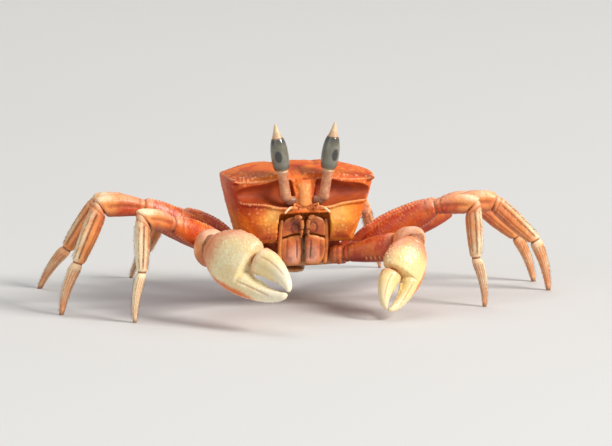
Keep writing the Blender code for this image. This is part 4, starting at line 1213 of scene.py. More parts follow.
def build_antennae():
    for side, mirror in (("left", 1), ("right", -1)):
        base, tip = np.array((2.5, -19.0, 26.8)), np.array((6.2, -21.4, 25.8))
        t = np.linspace(0, 1, 90)
        line = base + (tip - base) * t[:, None] + np.array((0, 0, 0.9)) * np.sin(math.pi * t)[:, None]
        radius = pchip((0.0, 0.18, 0.30, 0.65, 1.0), (0.75, 0.70, 0.42, 0.34, 0.26), t)
        radius = radius * (1 - 0.09 * (0.5 + 0.5 * np.cos(t * 120)) * smooth(0.28, 0.34, t)) * (1 - 0.16 * np.exp(-(((t - 0.15) / 0.012) ** 2)) - 0.16 * np.exp(-(((t - 0.26) / 0.012) ** 2)))
        end = np.minimum(t, 1 - t) * 4.5
        radius = radius * np.sqrt(np.clip(1 - (np.clip(0.22 - end, 0, 0.22) / 0.22) ** 2, 0.02, 1))
        bits = [outward(loft(turned_with_body(mirrored(line, mirror)), radius, 20))]
        # the small inner feeler, folded sideways under the front
        share, full = rounded_ends(36, 0.12)
        line = path_at(((1.1, -18.7, 27.1), (2.1, -19.4, 27.7), (3.2, -20.1, 28.2), (3.3, -20.4, 27.4)), share)
        bits.append(outward(loft(turned_with_body(mirrored(line, mirror)), (0.36 - 0.18 * share) * full, 18)))
        p, q, t3 = joined(*bits)
        zero = 0 * p[:, 0]
        out = abs(p[:, 0]) / 6.2
        emit(f"feeler_{side}", (p, q, t3), LIMB, (f"antenna_{side}",),
             dict(relief=0.4 * layered(p, 0.5, 73), pale=0.25 + 0.5 * smooth(0.4, 0.9, out), pink=zero, dark=0.45 * smooth(0.55, 0.2, out), horn=zero))


# ---- limbs -----------------------------------------------------------------------------------
MEMBRANES, ROOTS = [], []


def limb_frame(start, end, back):
    axis = unit(end - start)
    up = unit(back - axis * (back @ axis))
    return axis, up, np.cross(axis, up)


def limb_rows(start, end, back, table, girth, bow, before, after, count, rows, square, shape, rim=0.55, on_floor=False, spine=None):
    """A limb segment as rows of points. Returns them with each row's share of length and
    each point's height on the section, and the rows that belong to the end caps."""
    axis, up, side = limb_frame(start, end, back)
    length = np.linalg.norm(end - start)
    a = np.arange(count) * TAU / count
    c, s = np.cos(a), np.sin(a)
    cc, ss = np.sign(c) * abs(c) ** (2 / square), np.sign(s) * abs(s) ** (2 / square)
    turn = np.linspace(0, math.pi / 2, 7)[:-1]
    near = rim * (1 - np.cos(turn)) / length
    inset = rim * (1 - np.sin(turn)) * 0.85
    body = np.linspace(rim / length, 1 - (0 if on_floor else rim / length), rows)
    t = np.concatenate((near, body, [] if on_floor else 1 - near[::-1]))
    tuck = np.concatenate((inset, 0 * body, [] if on_floor else inset[::-1]))
    rise, fall, half = (pchip(table[:, 0], table[:, 1:], t) * girth).T
    high = np.where(s[None] > 0, rise[:, None], fall[:, None])
    wide, high = shape(t, a, half[:, None] + 0 * c[None], high)
    mean = (rise + fall + 2 * half) / 4
    keep = 1 - tuck / mean
    offset = side * (wide * cc[None] * keep[:, None])[..., None] + up * (high * ss[None] * keep[:, None])[..., None]
    flat0 = offset[0] / keep[0]
    flat1 = offset[-1] / keep[-1]
    first = unit(axis + before)
    shift0 = (GAP / 2 - flat0 @ first) / (axis @ first)
    if on_floor:
        shift1 = -(end[2] + flat1[:, 2]) / axis[2]
    elif after is None:
        shift1 = np.zeros(count)
    else:
        last = -unit(axis + after)
        shift1 = (GAP / 2 - flat1 @ last) / (axis @ last)
    w0 = np.clip(1 - t / 0.38, 0, 1) ** 1.5
    w1 = np.clip(1 - (1 - t) / 0.38, 0, 1) ** 1.5
    place = length * t[:, None] + shift0[None] * w0[:, None] + shift1[None] * w1[:, None]
    grid = start + axis * place[..., None] + offset + up * (bow * np.sin(math.pi * t))[:, None, None]
    caps = []
    centre = grid[0].mean(0)
    lead = [centre + (grid[0] - centre) * k + axis * (0.25 * (1 - k * k)) for k in (0.08, 0.35, 0.6, 0.8, 0.93)]
    centre = grid[-1].mean(0)
    tail = [centre + (grid[-1] - centre) * k - (0 if on_floor else axis * (0.25 * (1 - k * k))) for k in (0.93, 0.8, 0.6, 0.35, 0.08)]
    if on_floor:  # round the rim of the worn tip
        grid[-1] = centre + (grid[-1] - centre) * 0.82
        grid[-2] = grid[-2] * 0.5 + (centre + (grid[-2] - centre)) * 0.5
        tail = [centre + (grid[-1] - centre) * k for k in (0.9, 0.6, 0.25)]
    full = np.concatenate((lead, grid, tail))
    share = np.concatenate((np.zeros(len(lead)), t, np.ones(len(tail))))
    solid = np.concatenate((np.zeros(len(lead)), np.where(tuck > 0, 0.0, 1.0), np.zeros(len(tail))))
    if on_floor:
        solid[-len(tail) - 3:] = 0
    thorn = None
    if spine is not None:
        way, reach, size = unit(spine[0]), spine[1], spine[2]
        root = start + axis * (0.62 * length) + (way - axis * (way @ axis)) * reach * 0.80
        t2 = np.linspace(0, 1, 24)
        line = root + way * (3.0 * size * t2)[:, None] + UP * (0.5 * size * t2**2)[:, None]
        thorn = outward(loft(line, size * 1.25 * (1 - t2) ** 0.75 + 0.06, 24))
    return full, share, solid, np.repeat(np.sin(a)[None], len(full), 0), np.repeat(a[None], len(full), 0), length, thorn


def plain_shape(t, a, wide, high):
    return wide, high


def merus_shape(t, a, wide, high):
    """A crest along the back, two low keels below."""
    s = np.sin(a)[None]
    crest = 1 - 0.20 * np.clip(s, 0, 1) ** 2
    keel = 1 + 0.07 * np.exp(-(((np.abs(np.cos(a)) - 0.62) / 0.16) ** 2))[None] * (s < 0)
    return wide * crest * keel, high * keel


def carpus_shape(t, a, wide, high):
    rib = 1 + 0.045 * np.exp(-(((np.sin(a) - 0.45) / 0.16) ** 2))[None] - 0.04 * np.exp(-(((np.sin(a) - 0.05) / 0.2) ** 2))[None]
    return wide * rib, high * rib


def fluted_shape(t, a, wide, high):
    flute = 1 - 0.05 * (0.5 - 0.5 * np.cos(8 * a))[None] * smooth(0.05, 0.2, t)[:, None] * smooth(1.0, 0.85, t)[:, None]
    return wide * flute, high * flute


def finish_limb(name, node, rows, kind, seed, material=None, tone=None):
    full, share, solid, height, angle, length, thorn = rows
    mesh = grid_mesh(full)
    p, q, t3 = outward(mesh)
    flip = not np.array_equal(q[0], mesh[1][0])
    n = normals_of((p, q, t3))
    count = full.shape[1]
    t = np.concatenate((np.repeat(share, count), (0.0, 1.0)))
    keep = np.concatenate((np.repeat(solid, count), (0.0, 0.0)))
    s = np.concatenate((height.ravel(), (0, 0)))
    a = np.concatenate((angle.ravel(), (0, 0)))
    keep = keep * smooth(0.0, 0.03, t) * (smooth(1.0, 0.97, t) if kind != "dactylus" else smooth(1.0, 0.94, t))
    u = t * length
    big = layered(p, 3.5, seed)
    lumps = 0.06 * big
    stones, own = pebbles(p, 0.72, seed + 1)
    cut = np.zeros(len(p))
    if kind == "merus":
        # short broken ridges across the upper side, sharper towards the crest
        phase = u / 0.92 + 0.55 * np.sin(2 * a + seed) + 0.9 * noise(p, 2.2, seed + 2)
        saw = phase - np.floor(phase)
        ridge = np.clip(1 - abs(saw - 0.75) / 0.25, 0, 1) ** 1.2
        broken = smooth(-0.25, 0.2, noise(p, 1.5, seed + 3))
        grains = 0.10 * ridge * broken * (0.25 + 0.75 * smooth(-0.5, 0.6, s)) * smooth(0.16, 0.3, t) + 0.055 * stones * own
        crest = np.exp(-(((s - 1.0) / 0.10) ** 2))
        grains += (0.13 + 0.06 * noise(p, 1.1, seed + 4)) * crest * (0.5 + 0.5 * np.sin(u * TAU / 0.95 + 1.2 * noise(p, 3.0, seed + 5))) * smooth(0.18, 0.3, t)
        keel = np.exp(-(((abs(np.cos(a)) - 0.62) / 0.09) ** 2)) * (s < 0)
        grains += 0.12 * keel * (0.5 + 0.5 * np.sin(u * TAU / 0.9 + 1 + 1.2 * noise(p, 3.0, seed + 6))) * smooth(0.2, 0.35, t)
        cut -= 0.30 * np.exp(-(((t - 0.135) / 0.012) ** 2))  # joint of ischium and merus
        cut -= 0.16 * np.exp(-(((u - length + 2.3) / 0.35) ** 2)) * smooth(-0.6, 0.3, s)
    elif kind == "carpus":
        grains = 0.10 * stones * (0.3 + 0.7 * own) * (0.35 + 0.65 * smooth(-0.3, 0.6, s))
        cut -= 0.16 * np.exp(-(((s - 0.10) / 0.13) ** 2)) * smooth(0.1, 0.25, t) * smooth(0.95, 0.8, t)
        cut -= 0.13 * np.exp(-(((u - 1.5) / 0.3) ** 2))
    elif kind == "propodus":
        grains = 0.07 * stones * (0.3 + 0.7 * own)
        for level in (0.30, -0.35):
            cut -= 0.15 * np.exp(-(((s - level) / 0.12) ** 2)) * smooth(0.05, 0.18, t) * smooth(0.98, 0.85, t)
        cut -= 0.12 * np.exp(-(((u - 1.3) / 0.28) ** 2))
    elif kind == "dactylus":
        grains = 0.035 * stones * own
        for level in (0.42, 0.0, -0.42):
            cut -= 0.10 * np.exp(-(((s - level) / 0.14) ** 2)) * smooth(0.06, 0.16, t) * smooth(0.93, 0.75, t)
    elif kind == "arm":
        grains = 0.11 * stones * (0.3 + 0.7 * own) * (0.4 + 0.6 * smooth(-0.5, 0.4, s))
        edge = np.exp(-(((abs(np.cos(a)) - 0.86) / 0.07) ** 2)) * (s < 0.0) if "merus" in name else 0 * s
        grains = grains + 0.30 * edge * np.clip(np.sin(u * TAU / 1.25), 0, 1) * smooth(0.3, 0.45, t)
        cut -= 0.16 * np.exp(-(((u - 1.4) / 0.35) ** 2))
    move = (lumps + grains + cut) * keep
    p = p + n * move[:, None]
    relief = np.clip(np.clip(cut, -1, 0) / 0.16 * keep + (grains * keep - 0.02) / 0.10, -1, 1)
    marks = dict(relief=relief)
    marks.update(tone(t, s, big, a, keep))
    uv = grid_uv(full.shape[0], count, q, t3, flip)
    if thorn is not None:  # a sharp tooth at the inner corner of the wrist
        extra = len(thorn[0])
        far = np.linspace(0, 1, extra)
        p, q, t3 = joined((p, q, t3), thorn)
        ends = dict(relief=0.2, pale=0.25, pink=0.2, dark=0.0, horn=0.0)
        marks = {key: np.concatenate((v + 0 * s, np.full(extra, ends[key]) + (0.5 * far if key == "pale" else 0))) for key, v in marks.items()}
        uv = None
    emit(name, (p, q, t3), material or LIMB, (node,), marks, uv)


def grid_uv(n, m, q, t, flipped):
    """A plain map of a tube: round it in u, along it in v."""
    def place(faces):
        row, column = faces // m, faces % m
        u = column / m
        far = column.max(1, keepdims=True) - column.min(1, keepdims=True) > m / 2
        u = np.where(far & (column == 0), 1.0, u)
        return np.stack((0.01 + 0.98 * u, 0.01 + 0.98 * (row + 1) / (n + 1)), -1)

    quads = place(q)
    tips = t.copy()
    pole = t >= n * m
    last = t == n * m + 1
    column = np.where(pole, 0, t % m)
    others = np.where(pole, np.nan, t % m)
    wrap = np.nanmax(others, 1, keepdims=True) - np.nanmin(others, 1, keepdims=True) > m / 2
    u = column / m
    u = np.where(wrap & (column == 0) & ~pole, 1.0, u)
    middle = np.where(wrap[:, 0], 1.0 - 0.5 / m, np.nanmean(others, 1) / m)
    u = np.where(pole, middle[:, None], u)
    v = np.where(pole, np.where(last, 1.0, 0.0), (t // m + 1) / (n + 1))
    tri = np.stack((0.01 + 0.98 * u, 0.01 + 0.98 * v), -1)
    return np.concatenate((quads.reshape(-1, 2), tri.reshape(-1, 2)))


def membrane(joint, before, after, back, size_before, size_after):
    """Soft folded skin bridging a joint."""
    t = np.linspace(-1, 1, 15)
    way0, way1 = unit(before), unit(after)
    points = np.array([joint + (way0 if k < 0 else way1) * k * 1.25 for k in t])
    bend = unit(way0 + way1)
    points = points * 0.75 + (joint + bend * t[:, None] * 1.25) * 0.25
    share = (t + 1) / 2
    size = np.array(size_before)[None] * (1 - share)[:, None] + np.array(size_after)[None] * share[:, None]
    folds = 0.90 + 0.035 * np.cos(t * 9.0)
    end = np.sqrt(np.clip(1 - np.abs(t) ** 6, 0.05, 1))
    radii = np.stack((size[:, 1], size[:, 0]), 1) * (folds * end)[:, None]
    MEMBRANES.append(outward(loft(points, radii, 36, up=back, square=2.3)))


def build_leg(number, side):
    girth = LEG_KINDS[number]["girth"]
    joints, out = leg_joints(number, side)
    ways = [unit(b - a) for a, b in zip(joints, joints[1:])]
    backs = (UP, UP + out * 0.2, out + UP * 0.6, out + UP * 0.2)
    seed = 300 + number * 40 + (7 if side == "left" else 0)
    hind = number == 3
    warm = 0.0 if (side, number) == ("right", 0) else (0.14, 0.24, 0.24, 0.12)[number]

    def merus_tone(t, s, big, a, keep):
        # knee tops paler and pink: painted highlight over the joint's own paler colour
        pale = 0.42 * smooth(0.86, 0.99, t) * smooth(-0.2, 0.7, s) + 0.10 * big
        pink = 0.55 * smooth(0.80, 0.97, t) * smooth(0.0, 0.8, s)
        # painted shade on the underside and toward the body, plus the merus's own dark blotches
        dark = 0.62 * smooth(0.15, -0.75, s) + 0.52 * smooth(0.62, 0.0, t) + 0.45 * smooth(0.15, 0.55, big) * smooth(0.9, 0.7, t)
        return dict(pale=np.clip(pale, 0, 1), pink=pink, dark=np.clip(dark, 0, 0.88), horn=0 * t)

    def carpus_tone(t, s, big, a, keep):
        # paler and pink on the upper side: painted highlight, over a tone that pales toward the tip
        pale = 0.22 - 0.4 * warm + 0.35 * smooth(0.0, 0.8, s) + 0.22 * smooth(0.2, 1.0, t) + 0.14 * big
        pink = 0.45 * smooth(-0.1, 0.8, s) * smooth(0.9, 0.3, t)
        # painted shade on the underside, plus dark blotches
        dark = 0.50 * smooth(0.0, -0.8, s) + 0.25 * smooth(0.3, 0.6, big)
        return dict(pale=np.clip(pale, 0, 1), pink=pink, dark=np.clip(dark, 0, 0.8), horn=0 * t)

    def propodus_tone(t, s, big, a, keep):
        # pale: the lower leg's own cream, paler on the upper side as painted light
        pale = 0.52 - warm + (0.26 - 0.2 * warm) * smooth(0.1, 0.9, t) + (0.22 + 0.5 * warm) * smooth(-0.2, 0.8, s) + 0.14 * big
        # painted shade on the underside
        dark = 0.26 * smooth(0.1, -0.8, s)
        return dict(pale=np.clip(pale, 0, 1), pink=0.20 * smooth(0.5, 0.0, t), dark=np.clip(dark, 0, 0.7), horn=0 * t)

    def dactylus_tone(t, s, big, a, keep):
        pale = 0.86 - 0.8 * warm - 0.10 * smooth(0.5, 0.9, t) + 0.12 * big
        # dark: painted shade on the underside
        return dict(pale=np.clip(pale, 0, 1), pink=0.15 * smooth(0.5, 0.9, t), dark=0.18 * smooth(0.0, -0.8, s), horn=0.75 * smooth(0.88, 0.99, t))

    segments = (
        ("merus", MERUS, "limb_red", 0.0, 2.3, merus_shape, merus_tone, 120, 96),
        ("carpus", CARPUS, "limb_red", 0.4, 2.3, carpus_shape, carpus_tone, 70, 84),
        ("propodus", PROPODUS, "limb_pale", 0.0, 2.3, plain_shape, propodus_tone, 84, 76),
        ("dactylus", DACTYLUS, "limb_pale", 0.7, 2.2, plain_shape, dactylus_tone, 84, 64),
    )
    for i, (kind, table, slot, bow, square, shape, tone, rows, count) in enumerate(segments):
        made = limb_rows(joints[i], joints[i + 1], backs[i], table, girth, bow, ways[max(i - 1, 0)],
                         ways[i + 1] if i < 3 else None, count, rows, square, shape, on_floor=i == 3)
        finish_limb(f"{side}_leg_{number + 1}_{kind}", f"leg_{side}_{number + 1}_{kind}", made, kind, seed + 9 * i, tone=tone)
    sizes = [(1.95, 1.95, 1.7)] + [tuple(table[-1, 1:]) for _, table, *_ in segments[:3]]
    starts = [tuple(table[0, 1:]) for _, table, *_ in segments]
    for i in range(4):
        a = np.array(sizes[i])[[0, 2]] * girth
        b = np.array(starts[i])[[0, 2]] * girth
        both = np.minimum(a, b)
        before = ways[i - 1] if i else ways[0]
        membrane(joints[i], before, ways[i], backs[i], both, both)
    for kind, i in (("propodus", 2), ("dactylus", 3)):
        ROOTS.append((number, side, kind, joints[i], joints[i + 1], backs[i], girth))


def claw_mesh(start, axis, back, length, table, rows, count, square=2.2, ends=(0.0, 0.0)):
    axis, up, side = limb_frame(start, start + axis, back)
    t = np.linspace(table[0, 0], table[-1, 0], rows)
    high, low, half = pchip(table[:, 0], table[:, 1:], t).T
    span = table[-1, 0] - table[0, 0]
    full = np.ones(rows)
    for end, gap in ((ends[0], t - table[0, 0]), (ends[1], table[-1, 0] - t)):
        if end:
            full = full * np.sqrt(np.clip(1 - (np.clip(end - gap, 0, end) / end) ** 2, 0.03, 1))
    a = np.arange(count) * TAU / count
    c, s = np.cos(a), np.sin(a)
    cc, ss = np.sign(c) * abs(c) ** (2 / square), np.sign(s) * abs(s) ** (2 / square)
    middle, deep = (high + low) / 2 * length, (high - low) / 2 * length
    rows_ = start + axis * (t * length)[:, None, None] + up * (middle[:, None] + (deep * full)[:, None] * ss[None])[..., None] + side * ((half * length * full)[:, None] * cc[None])[..., None]
    return rows_, t


def build_cheliped(side):
    arm = CHELIPEDS[side]
    hip, elbow = turned_with_body(arm["hip"]), np.array(arm["elbow"])
    wrist, tip, back = np.array(arm["wrist"]), np.array(arm["tip"]), np.array(arm["back"])
    size, length = arm["size"], np.linalg.norm(tip - wrist)
    ways = [unit(elbow - hip), unit(wrist - elbow), unit(tip - wrist)]
    seed = 700 if side == "left" else 760

    def arm_tone(t, s, big, a, keep):
        # paler on the upper side and pink on the upper side near the wrist: painted highlight
        pale = 0.12 * smooth(0.2, 0.9, s) + 0.30 * smooth(0.85, 1.0, t) + 0.10 * big
        # painted shade on the underside and toward the body, plus dark blotches
        dark = 0.60 * smooth(0.1, -0.8, s) + 0.45 * smooth(0.1, 0.55, big) + 0.34 * smooth(0.8, 0.2, t)
        return dict(pale=np.clip(pale, 0, 1), pink=0.35 * smooth(0.7, 1.0, t) * smooth(-0.2, 0.7, s), dark=np.clip(dark, 0, 0.88), horn=0 * t)

    def wrist_tone(t, s, big, a, keep):
        # paler and pink on the upper side: painted highlight over the wrist's own pale tone
        pale = 0.28 + 0.28 * smooth(0.2, 1.0, t) + 0.15 * smooth(0.0, 0.8, s) + 0.14 * big
        # painted shade on the underside, plus dark blotches
        dark = 0.45 * smooth(0.0, -0.8, s) + 0.30 * smooth(0.25, 0.6, big)
        return dict(pale=np.clip(pale, 0, 1), pink=0.50 * smooth(-0.1, 0.7, s), dark=np.clip(dark, 0, 0.8), horn=0 * t)

    girth = 0.62 + 0.38 * size
    made = limb_rows(hip, elbow, UP, MERUS_OF_ARM, girth, 0.0, ways[0], ways[1], 110, 110, 2.3, plain_shape, rim=0.8)
    finish_limb(f"{side}_arm_merus", f"cheliped_{side}_merus", made, "arm", seed, tone=arm_tone)
    girth2 = 0.5 + 0.5 * size
    made = limb_rows(elbow, wrist, UP, WRIST, girth2, 0.0, ways[0], ways[2], 110, 90, 2.15, plain_shape, rim=1.1, spine=(np.array((-1.0 if side == "left" else 1.0, -0.75, 0.25)), 4.4 * girth2, size))
    finish_limb(f"{side}_arm_carpus", f"cheliped_{side}_carpus", made, "arm", seed + 9, tone=wrist_tone)
    membrane(hip, ways[0], ways[0], UP, np.array((2.2, 2.0)) * girth, np.array((2.2, 2.0)) * girth)
    membrane(elbow, ways[0], ways[1], UP, np.array((3.4, 3.0)) * min(girth, girth2), np.array((3.4, 3.0)) * min(girth, girth2))
    membrane(wrist, ways[1], ways[2], back, np.array((3.4, 2.9)) * girth2, np.array((0.118, 0.100)) * length)

    # palm, with its fixed finger and the teeth of that finger
    axis, up, across_ = limb_frame(wrist, tip, back)
    rows, t = claw_mesh(wrist, ways[2], back, length, PALM, 70, 72, ends=(0.0, 0.022))
    plane = unit(ways[2] + ways[1])
    short = GAP / 2 + 0.02 - (rows - wrist) @ plane
    rows = rows + ways[2] * (np.clip(short, 0, None) / (ways[2] @ plane))[..., None]
    palm = grid_mesh(rows)
    rows, t = claw_mesh(wrist, ways[2], back, length, FIXED_FINGER, 80, 44, ends=(0.02, 0.02))
    finger = grid_mesh(rows)
    teeth = []
    big_tooth = 0.62 if size > 0.9 else 0.58
    shares = np.arange(0.575, 0.965, 0.034 if size > 0.9 else 0.030)
    for k, share in enumerate(shares):
        high, low, half = pchip(FIXED_FINGER[:, 0], FIXED_FINGER[:, 1:], share)[0]
        r = (0.0135 + 0.010 * math.exp(-(((share - big_tooth - 0.06) / 0.05) ** 2)) + 0.003 * (k % 2)) * length * (1.15 - 0.6 * smooth(0.7, 1.0, share))
        centre = wrist + axis * (share * length) + up * ((high - 0.004) * length)
        teeth.append(ball(centre, (r, r, r * 1.0), 10))
    mesh = fused([palm, finger, *teeth], 0.155 if size > 0.9 else 0.125, 2)
    claw_finish(f"{side}_claw_palm", f"cheliped_{side}_palm", mesh, wrist, axis, up, across_, length, seed + 20, "palm")

    rows, t = claw_mesh(wrist, ways[2], back, length, MOVABLE_FINGER, 90, 56, ends=(0.016, 0.016))
    finger = grid_mesh(rows)
    teeth = []
    for k, share in enumerate(np.arange(0.60, 0.965, 0.034 if size > 0.9 else 0.030)):
        high, low, half = pchip(MOVABLE_FINGER[:, 0], MOVABLE_FINGER[:, 1:], share)[0]
        r = (0.0125 + 0.007 * math.exp(-(((share - big_tooth - 0.12) / 0.05) ** 2)) + 0.003 * (k % 2)) * length * (1.15 - 0.6 * smooth(0.7, 1.0, share))
        centre = wrist + axis * (share * length) + up * ((low + 0.006) * length)
        teeth.append(ball(centre, (r, r, r * 1.0), 10))
    mesh = fused([finger, *teeth], 0.14 if size > 0.9 else 0.115, 2)
    claw_finish(f"{side}_claw_finger", f"cheliped_{side}_finger", mesh, wrist, axis, up, across_, length, seed + 30, "finger")
    # skin inside the hinge of the movable finger
    hinge = wrist + axis * (0.520 * length) + up * (0.09 * length)
    MEMBRANES.append(outward(ball(hinge, (0.055 * length, 0.055 * length, 0.055 * length), 16)))


def claw_finish(name, node, mesh, wrist, axis, up, across_, length, seed, kind):
    p, q, t3 = mesh
    n = normals_of(mesh)
    local = (p - wrist) / length
    along, high, wide = local @ axis, local @ up, local @ across_
    flat = abs(n @ across_)
    edge = 1 - smooth(0.25, 0.7, flat)
    stones, own = pebbles(p, 0.85 * (0.75 + 0.25 * length / 29), seed)
    fine, _ = pebbles(p, 0.5, seed + 1)
    big = layered(p, 4.0, seed + 2)
    cut = np.zeros(len(p))
    if kind == "palm":
        reach = smooth(0.03, 0.09, along) * smooth(0.96, 0.9, along)
        grains = (0.075 + 0.075 * edge + 0.05 * smooth(0.0, 0.2, high)) * stones * (0.3 + 0.7 * own) * reach
        # a row of knobs along the lower edge, and a groove along the fixed finger
        low_edge = np.exp(-(((n @ up + 1.0) / 0.28) ** 2)) * np.exp(-((wide / 0.035) ** 2))
        grains += 0.16 * low_edge * (0.5 + 0.5 * np.sin(along * length * TAU / 1.15)) * reach
        cut -= 0.15 * np.exp(-(((high + 0.165 - 0.05 * (along - 0.5)) / 0.010) ** 2)) * smooth(0.46, 0.56, along) * smooth(0.93, 0.8, along) * smooth(0.3, 0.7, flat)
        cut -= 0.16 * np.exp(-(((along - 0.055) / 0.012) ** 2))
    else:
        reach = smooth(0.545, 0.58, along) * smooth(0.985, 0.93, along)
        grains = (0.02 + 0.06 * smooth(0.2, 0.9, n @ up) * smooth(0.8, 0.6, along)) * stones * (0.3 + 0.7 * own) * reach
        spine = pchip(MOVABLE_FINGER[:, 0], (MOVABLE_FINGER[:, 1] + MOVABLE_FINGER[:, 2]) / 2, np.clip(along, 0.53, 1.0))
        cut -= 0.13 * np.exp(-(((high - spine - 0.028) / 0.010) ** 2)) * smooth(0.57, 0.64, along) * smooth(0.95, 0.85, along) * smooth(0.3, 0.7, flat)
    p = p + n * (cut + grains + 0.015 * fine * reach + 0.07 * big * reach)[:, None]
    relief = np.clip(np.clip(cut, -1, 0) / 0.30 + (grains - 0.030) / 0.10, -1, 1)
    if kind == "palm":
        blush = 0.95 * smooth(0.34, 0.02, along) + 0.60 * smooth(0.10, 0.24, high) * smooth(0.62, 0.35, along)
        rust = 0.85 * smooth(-0.205, -0.262, high) * smooth(0.05, 0.15, along) * smooth(0.95, 0.6, along) + 0.45 * smooth(0.10, 0.0, along)
        white = 0.85 * smooth(0.62, 0.90, along)
    else:
        blush = 0.55 * smooth(0.66, 0.54, along) + 0.30 * smooth(0.3, 0.9, n @ up) * smooth(0.85, 0.6, along)
        rust = 0.25 * smooth(0.58, 0.54, along)
        white = 0.85 * smooth(0.70, 0.92, along)
    # the small claw is a deeper yellow than the large one
    small = "left" in node
    white *= 0.5 if small else 1.0
    warm = np.clip((0.62 if small else 0.0) * (1 + 0.5 * big), 0, 1)
    emit(name, (p, q, t3), CLAW, (node,),
         dict(relief=relief, warm=warm, blush=np.clip(blush + 0.10 * big, 0, 1), rust=np.clip(rust, 0, 1), white=np.clip(white, 0, 0.9)))


def build_membranes():
    p, q, t = joined(*MEMBRANES)
    emit("joint_skins", (p, q, t), SKIN, (), {})


# ---- hair fringes ------------------------------------------------------------------------------
def build_setae():
    """Short stiff hairs in rows along the outer legs, and the fringe of the mouth."""
    rng = np.random.default_rng(5)
    roots, ways, lengths, places = [], [], [], []
    tables = dict(propodus=PROPODUS, dactylus=DACTYLUS)
    for tile, (number, side, kind, start, end, back, girth) in enumerate(ROOTS):
        axis, up, across_ = limb_frame(start, end, back)
        span = np.linalg.norm(end - start)
        table = tables[kind]
        bow = 0.7 if kind == "dactylus" else 0.0
        for level in ((0.80, 0.25, -0.55) if kind == "propodus" else (0.75, -0.6)):
            for sign in (1, -1):
                count = int(span / 0.42)
                t = np.clip(np.linspace(0.10, 0.90, count) + rng.normal(0, 0.01, count), 0.08, 0.92)
                rise, fall, half = (pchip(table[:, 0], table[:, 1:], t) * girth).T
                angle = np.arcsin(level) if sign > 0 else math.pi - np.arcsin(level)
                c, s = math.cos(angle), math.sin(angle)
                c, s = math.copysign(abs(c) ** (2 / 2.3), c), math.copysign(abs(s) ** (2 / 2.3), s)
                radial = across_ * (half * c)[:, None] + up * ((rise if s > 0 else fall) * s)[:, None]
                root = start + axis * (t * span)[:, None] + radial * 0.97 + up * (bow * np.sin(math.pi * t))[:, None]
                way = radial / np.linalg.norm(radial, axis=1, keepdims=True) * 0.55 + axis * 0.85 + rng.normal(0, 0.14, (count, 3))
                roots.append(root)
                ways.append(way / np.linalg.norm(way, axis=1, keepdims=True))
                lengths.append((0.85 + 0.5 * rng.random(count)) * (0.6 + 0.4 * girth) * (1.0 if kind == "propodus" else 0.75))
                places.append(np.stack((((tile % 4) + 0.05 + 0.9 * np.full(count, angle % TAU) / TAU) / 4, ((tile // 4) + 0.05 + 0.9 * t) / 4), 1))
    roots, ways, lengths, places = (np.concatenate(v) for v in (roots, ways, lengths, places))
    keep = (roots[:, 2] + ways[:, 2] * lengths) > 0.4
    hair_piece("leg_setae", roots[keep], ways[keep], lengths[keep], 0.05, places[keep])
    roots, ways, lengths, places = (np.concatenate(v) for v in zip(*MOUTH_HAIR))
    hair_piece("mouth_setae", roots, ways / np.linalg.norm(ways, axis=1, keepdims=True), lengths, 0.045, places)


def hair_piece(name, roots, ways, lengths, radius, places):
    """Tapered three-sided hairs in one mesh. Each has a small patch of the bake map, at
    its root's place on the unrolled limb."""
    n = len(roots)
    other = np.cross(ways, np.where(abs(ways[:, 2:3]) < 0.9, np.array((0, 0, 1.0)), np.array((1.0, 0, 0))))
    other /= np.linalg.norm(other, axis=1, keepdims=True)
    third = np.cross(ways, other)
    points = []
    for share, thick, lean in ((0.0, 1.0, 0.0), (0.5, 0.75, 0.02), (0.82, 0.4, 0.07)):
        centre = roots + ways * (lengths * share)[:, None] - UP * (lengths * lean)[:, None]
        for k in range(3):
            a = TAU * k / 3
            points.append(centre + (other * math.cos(a) + third * math.sin(a)) * radius * thick)
    points.append(roots + ways * lengths[:, None] - UP * (lengths * 0.12)[:, None])
    points = np.stack(points, 1)
    points[..., 2] = np.maximum(points[..., 2], 0.05)
    base = np.arange(n)[:, None] * 10
    quads = [(3 * r + k, 3 * r + (k + 1) % 3, 3 * r + 3 + (k + 1) % 3, 3 * r + 3 + k) for r in range(2) for k in range(3)]
    q = (base[:, None] + np.array(quads)[None]).reshape(-1, 4)
    t = (base[:, None] + np.array([(6, 7, 9), (7, 8, 9), (8, 6, 9), (2, 1, 0)])[None]).reshape(-1, 3)
    local = (np.array([(0.1 + 0.4 * (k % 3), 0.1 + 0.3 * (k // 3)) for k in range(9)] + [(0.5, 0.95)]) - 0.5) * 0.003

    def place(faces):
        return (places[faces // 10] + local[faces % 10]).reshape(-1, 2)

    emit(name, (points.reshape(-1, 3), q, t), HAIR, (), {}, np.concatenate((place(q), place(t))))


# ---- floor, light and camera ---------------------------------------------------------------------
def stage_material():
    s = Shell("floor_matte")
    broad = s.noise(600.0, 2, 0.5)
    colour = s.mix(s.span(broad, 0.3, 0.7), (0.66, 0.655, 0.645), (0.68, 0.675, 0.665))
    return s.done(colour, s.span(broad, 0.3, 0.7, 0.84, 0.90), Specular_IOR_Level=0.2)


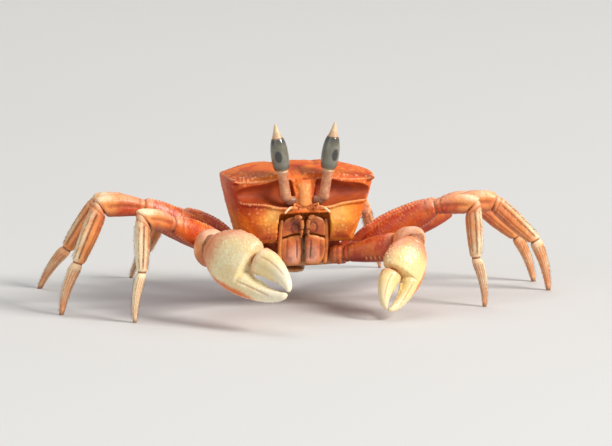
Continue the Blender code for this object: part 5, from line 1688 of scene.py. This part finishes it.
def build_stage():
    data = bpy.data.meshes.new("floor")
    half = 5.0
    data.from_pydata([(-half, -half, 0), (half, -half, 0), (half, half, 0), (-half, half, 0)], [], [(0, 1, 2, 3)])
    floor = bpy.data.objects.new("floor", data)
    bpy.context.scene.collection.objects.link(floor)
    data.materials.append(stage_material())
    world = bpy.data.worlds.new("studio")
    bpy.context.scene.world = world
    world.use_nodes = True
    sky = world.node_tree.nodes["Background"]
    sky.inputs["Color"].default_value = (0.90, 0.92, 0.95, 1.0)
    sky.inputs["Strength"].default_value = 0.36
    target = Vector((0.0, -0.005, 0.022))
    for name, place, size, power, colour in (
        ("key", (1.65, -1.375, 1.55), 1.05, 75.0, (1.0, 0.965, 0.91)),
        ("fill", (-2.0, -1.375, 1.125), 2.0, 9.4, (0.90, 0.95, 1.0)),
        ("top", (-0.125, 0.75, 2.375), 1.75, 16.2, (1.0, 0.98, 0.95)),
    ):
        lamp = bpy.data.lights.new(name, "AREA")
        lamp.shape, lamp.size, lamp.energy, lamp.color = "DISK", size, power, colour
        made = bpy.data.objects.new(name, lamp)
        made.location = place
        made.visible_camera = False
        made.rotation_euler = (target - Vector(place)).to_track_quat("-Z", "Y").to_euler()
        bpy.context.scene.collection.objects.link(made)


def build_camera():
    azimuth, elevation, distance = math.radians(-12.0), math.radians(10.0), 1.9
    lens = bpy.data.cameras.new("camera")
    lens.lens, lens.sensor_width = 415.0, 36.0
    lens.clip_start, lens.clip_end = 0.05, 20.0
    made = bpy.data.objects.new("camera", lens)
    target = Vector((0.0, 0.0, 0.0215))
    back = Vector((math.sin(azimuth) * math.cos(elevation), -math.cos(azimuth) * math.cos(elevation), math.sin(elevation)))
    made.location = target + back * distance
    made.rotation_euler = (-back).to_track_quat("-Z", "Y").to_euler()
    bpy.context.scene.collection.objects.link(made)
    bpy.context.scene.camera = made
    bpy.context.scene.view_settings.view_transform = "Standard"


build_carapace()
build_thorax()
build_abdomen()
build_mouth()
build_eyes()
build_antennae()
for crab_side in ("left", "right"):
    build_cheliped(crab_side)
    for leg in range(4):
        build_leg(leg, crab_side)
build_membranes()
build_setae()
build_stage()
build_camera()

print("triangles", sum(n for _, n in PIECES), sorted(PIECES, key=lambda r: -r[1])[:12])
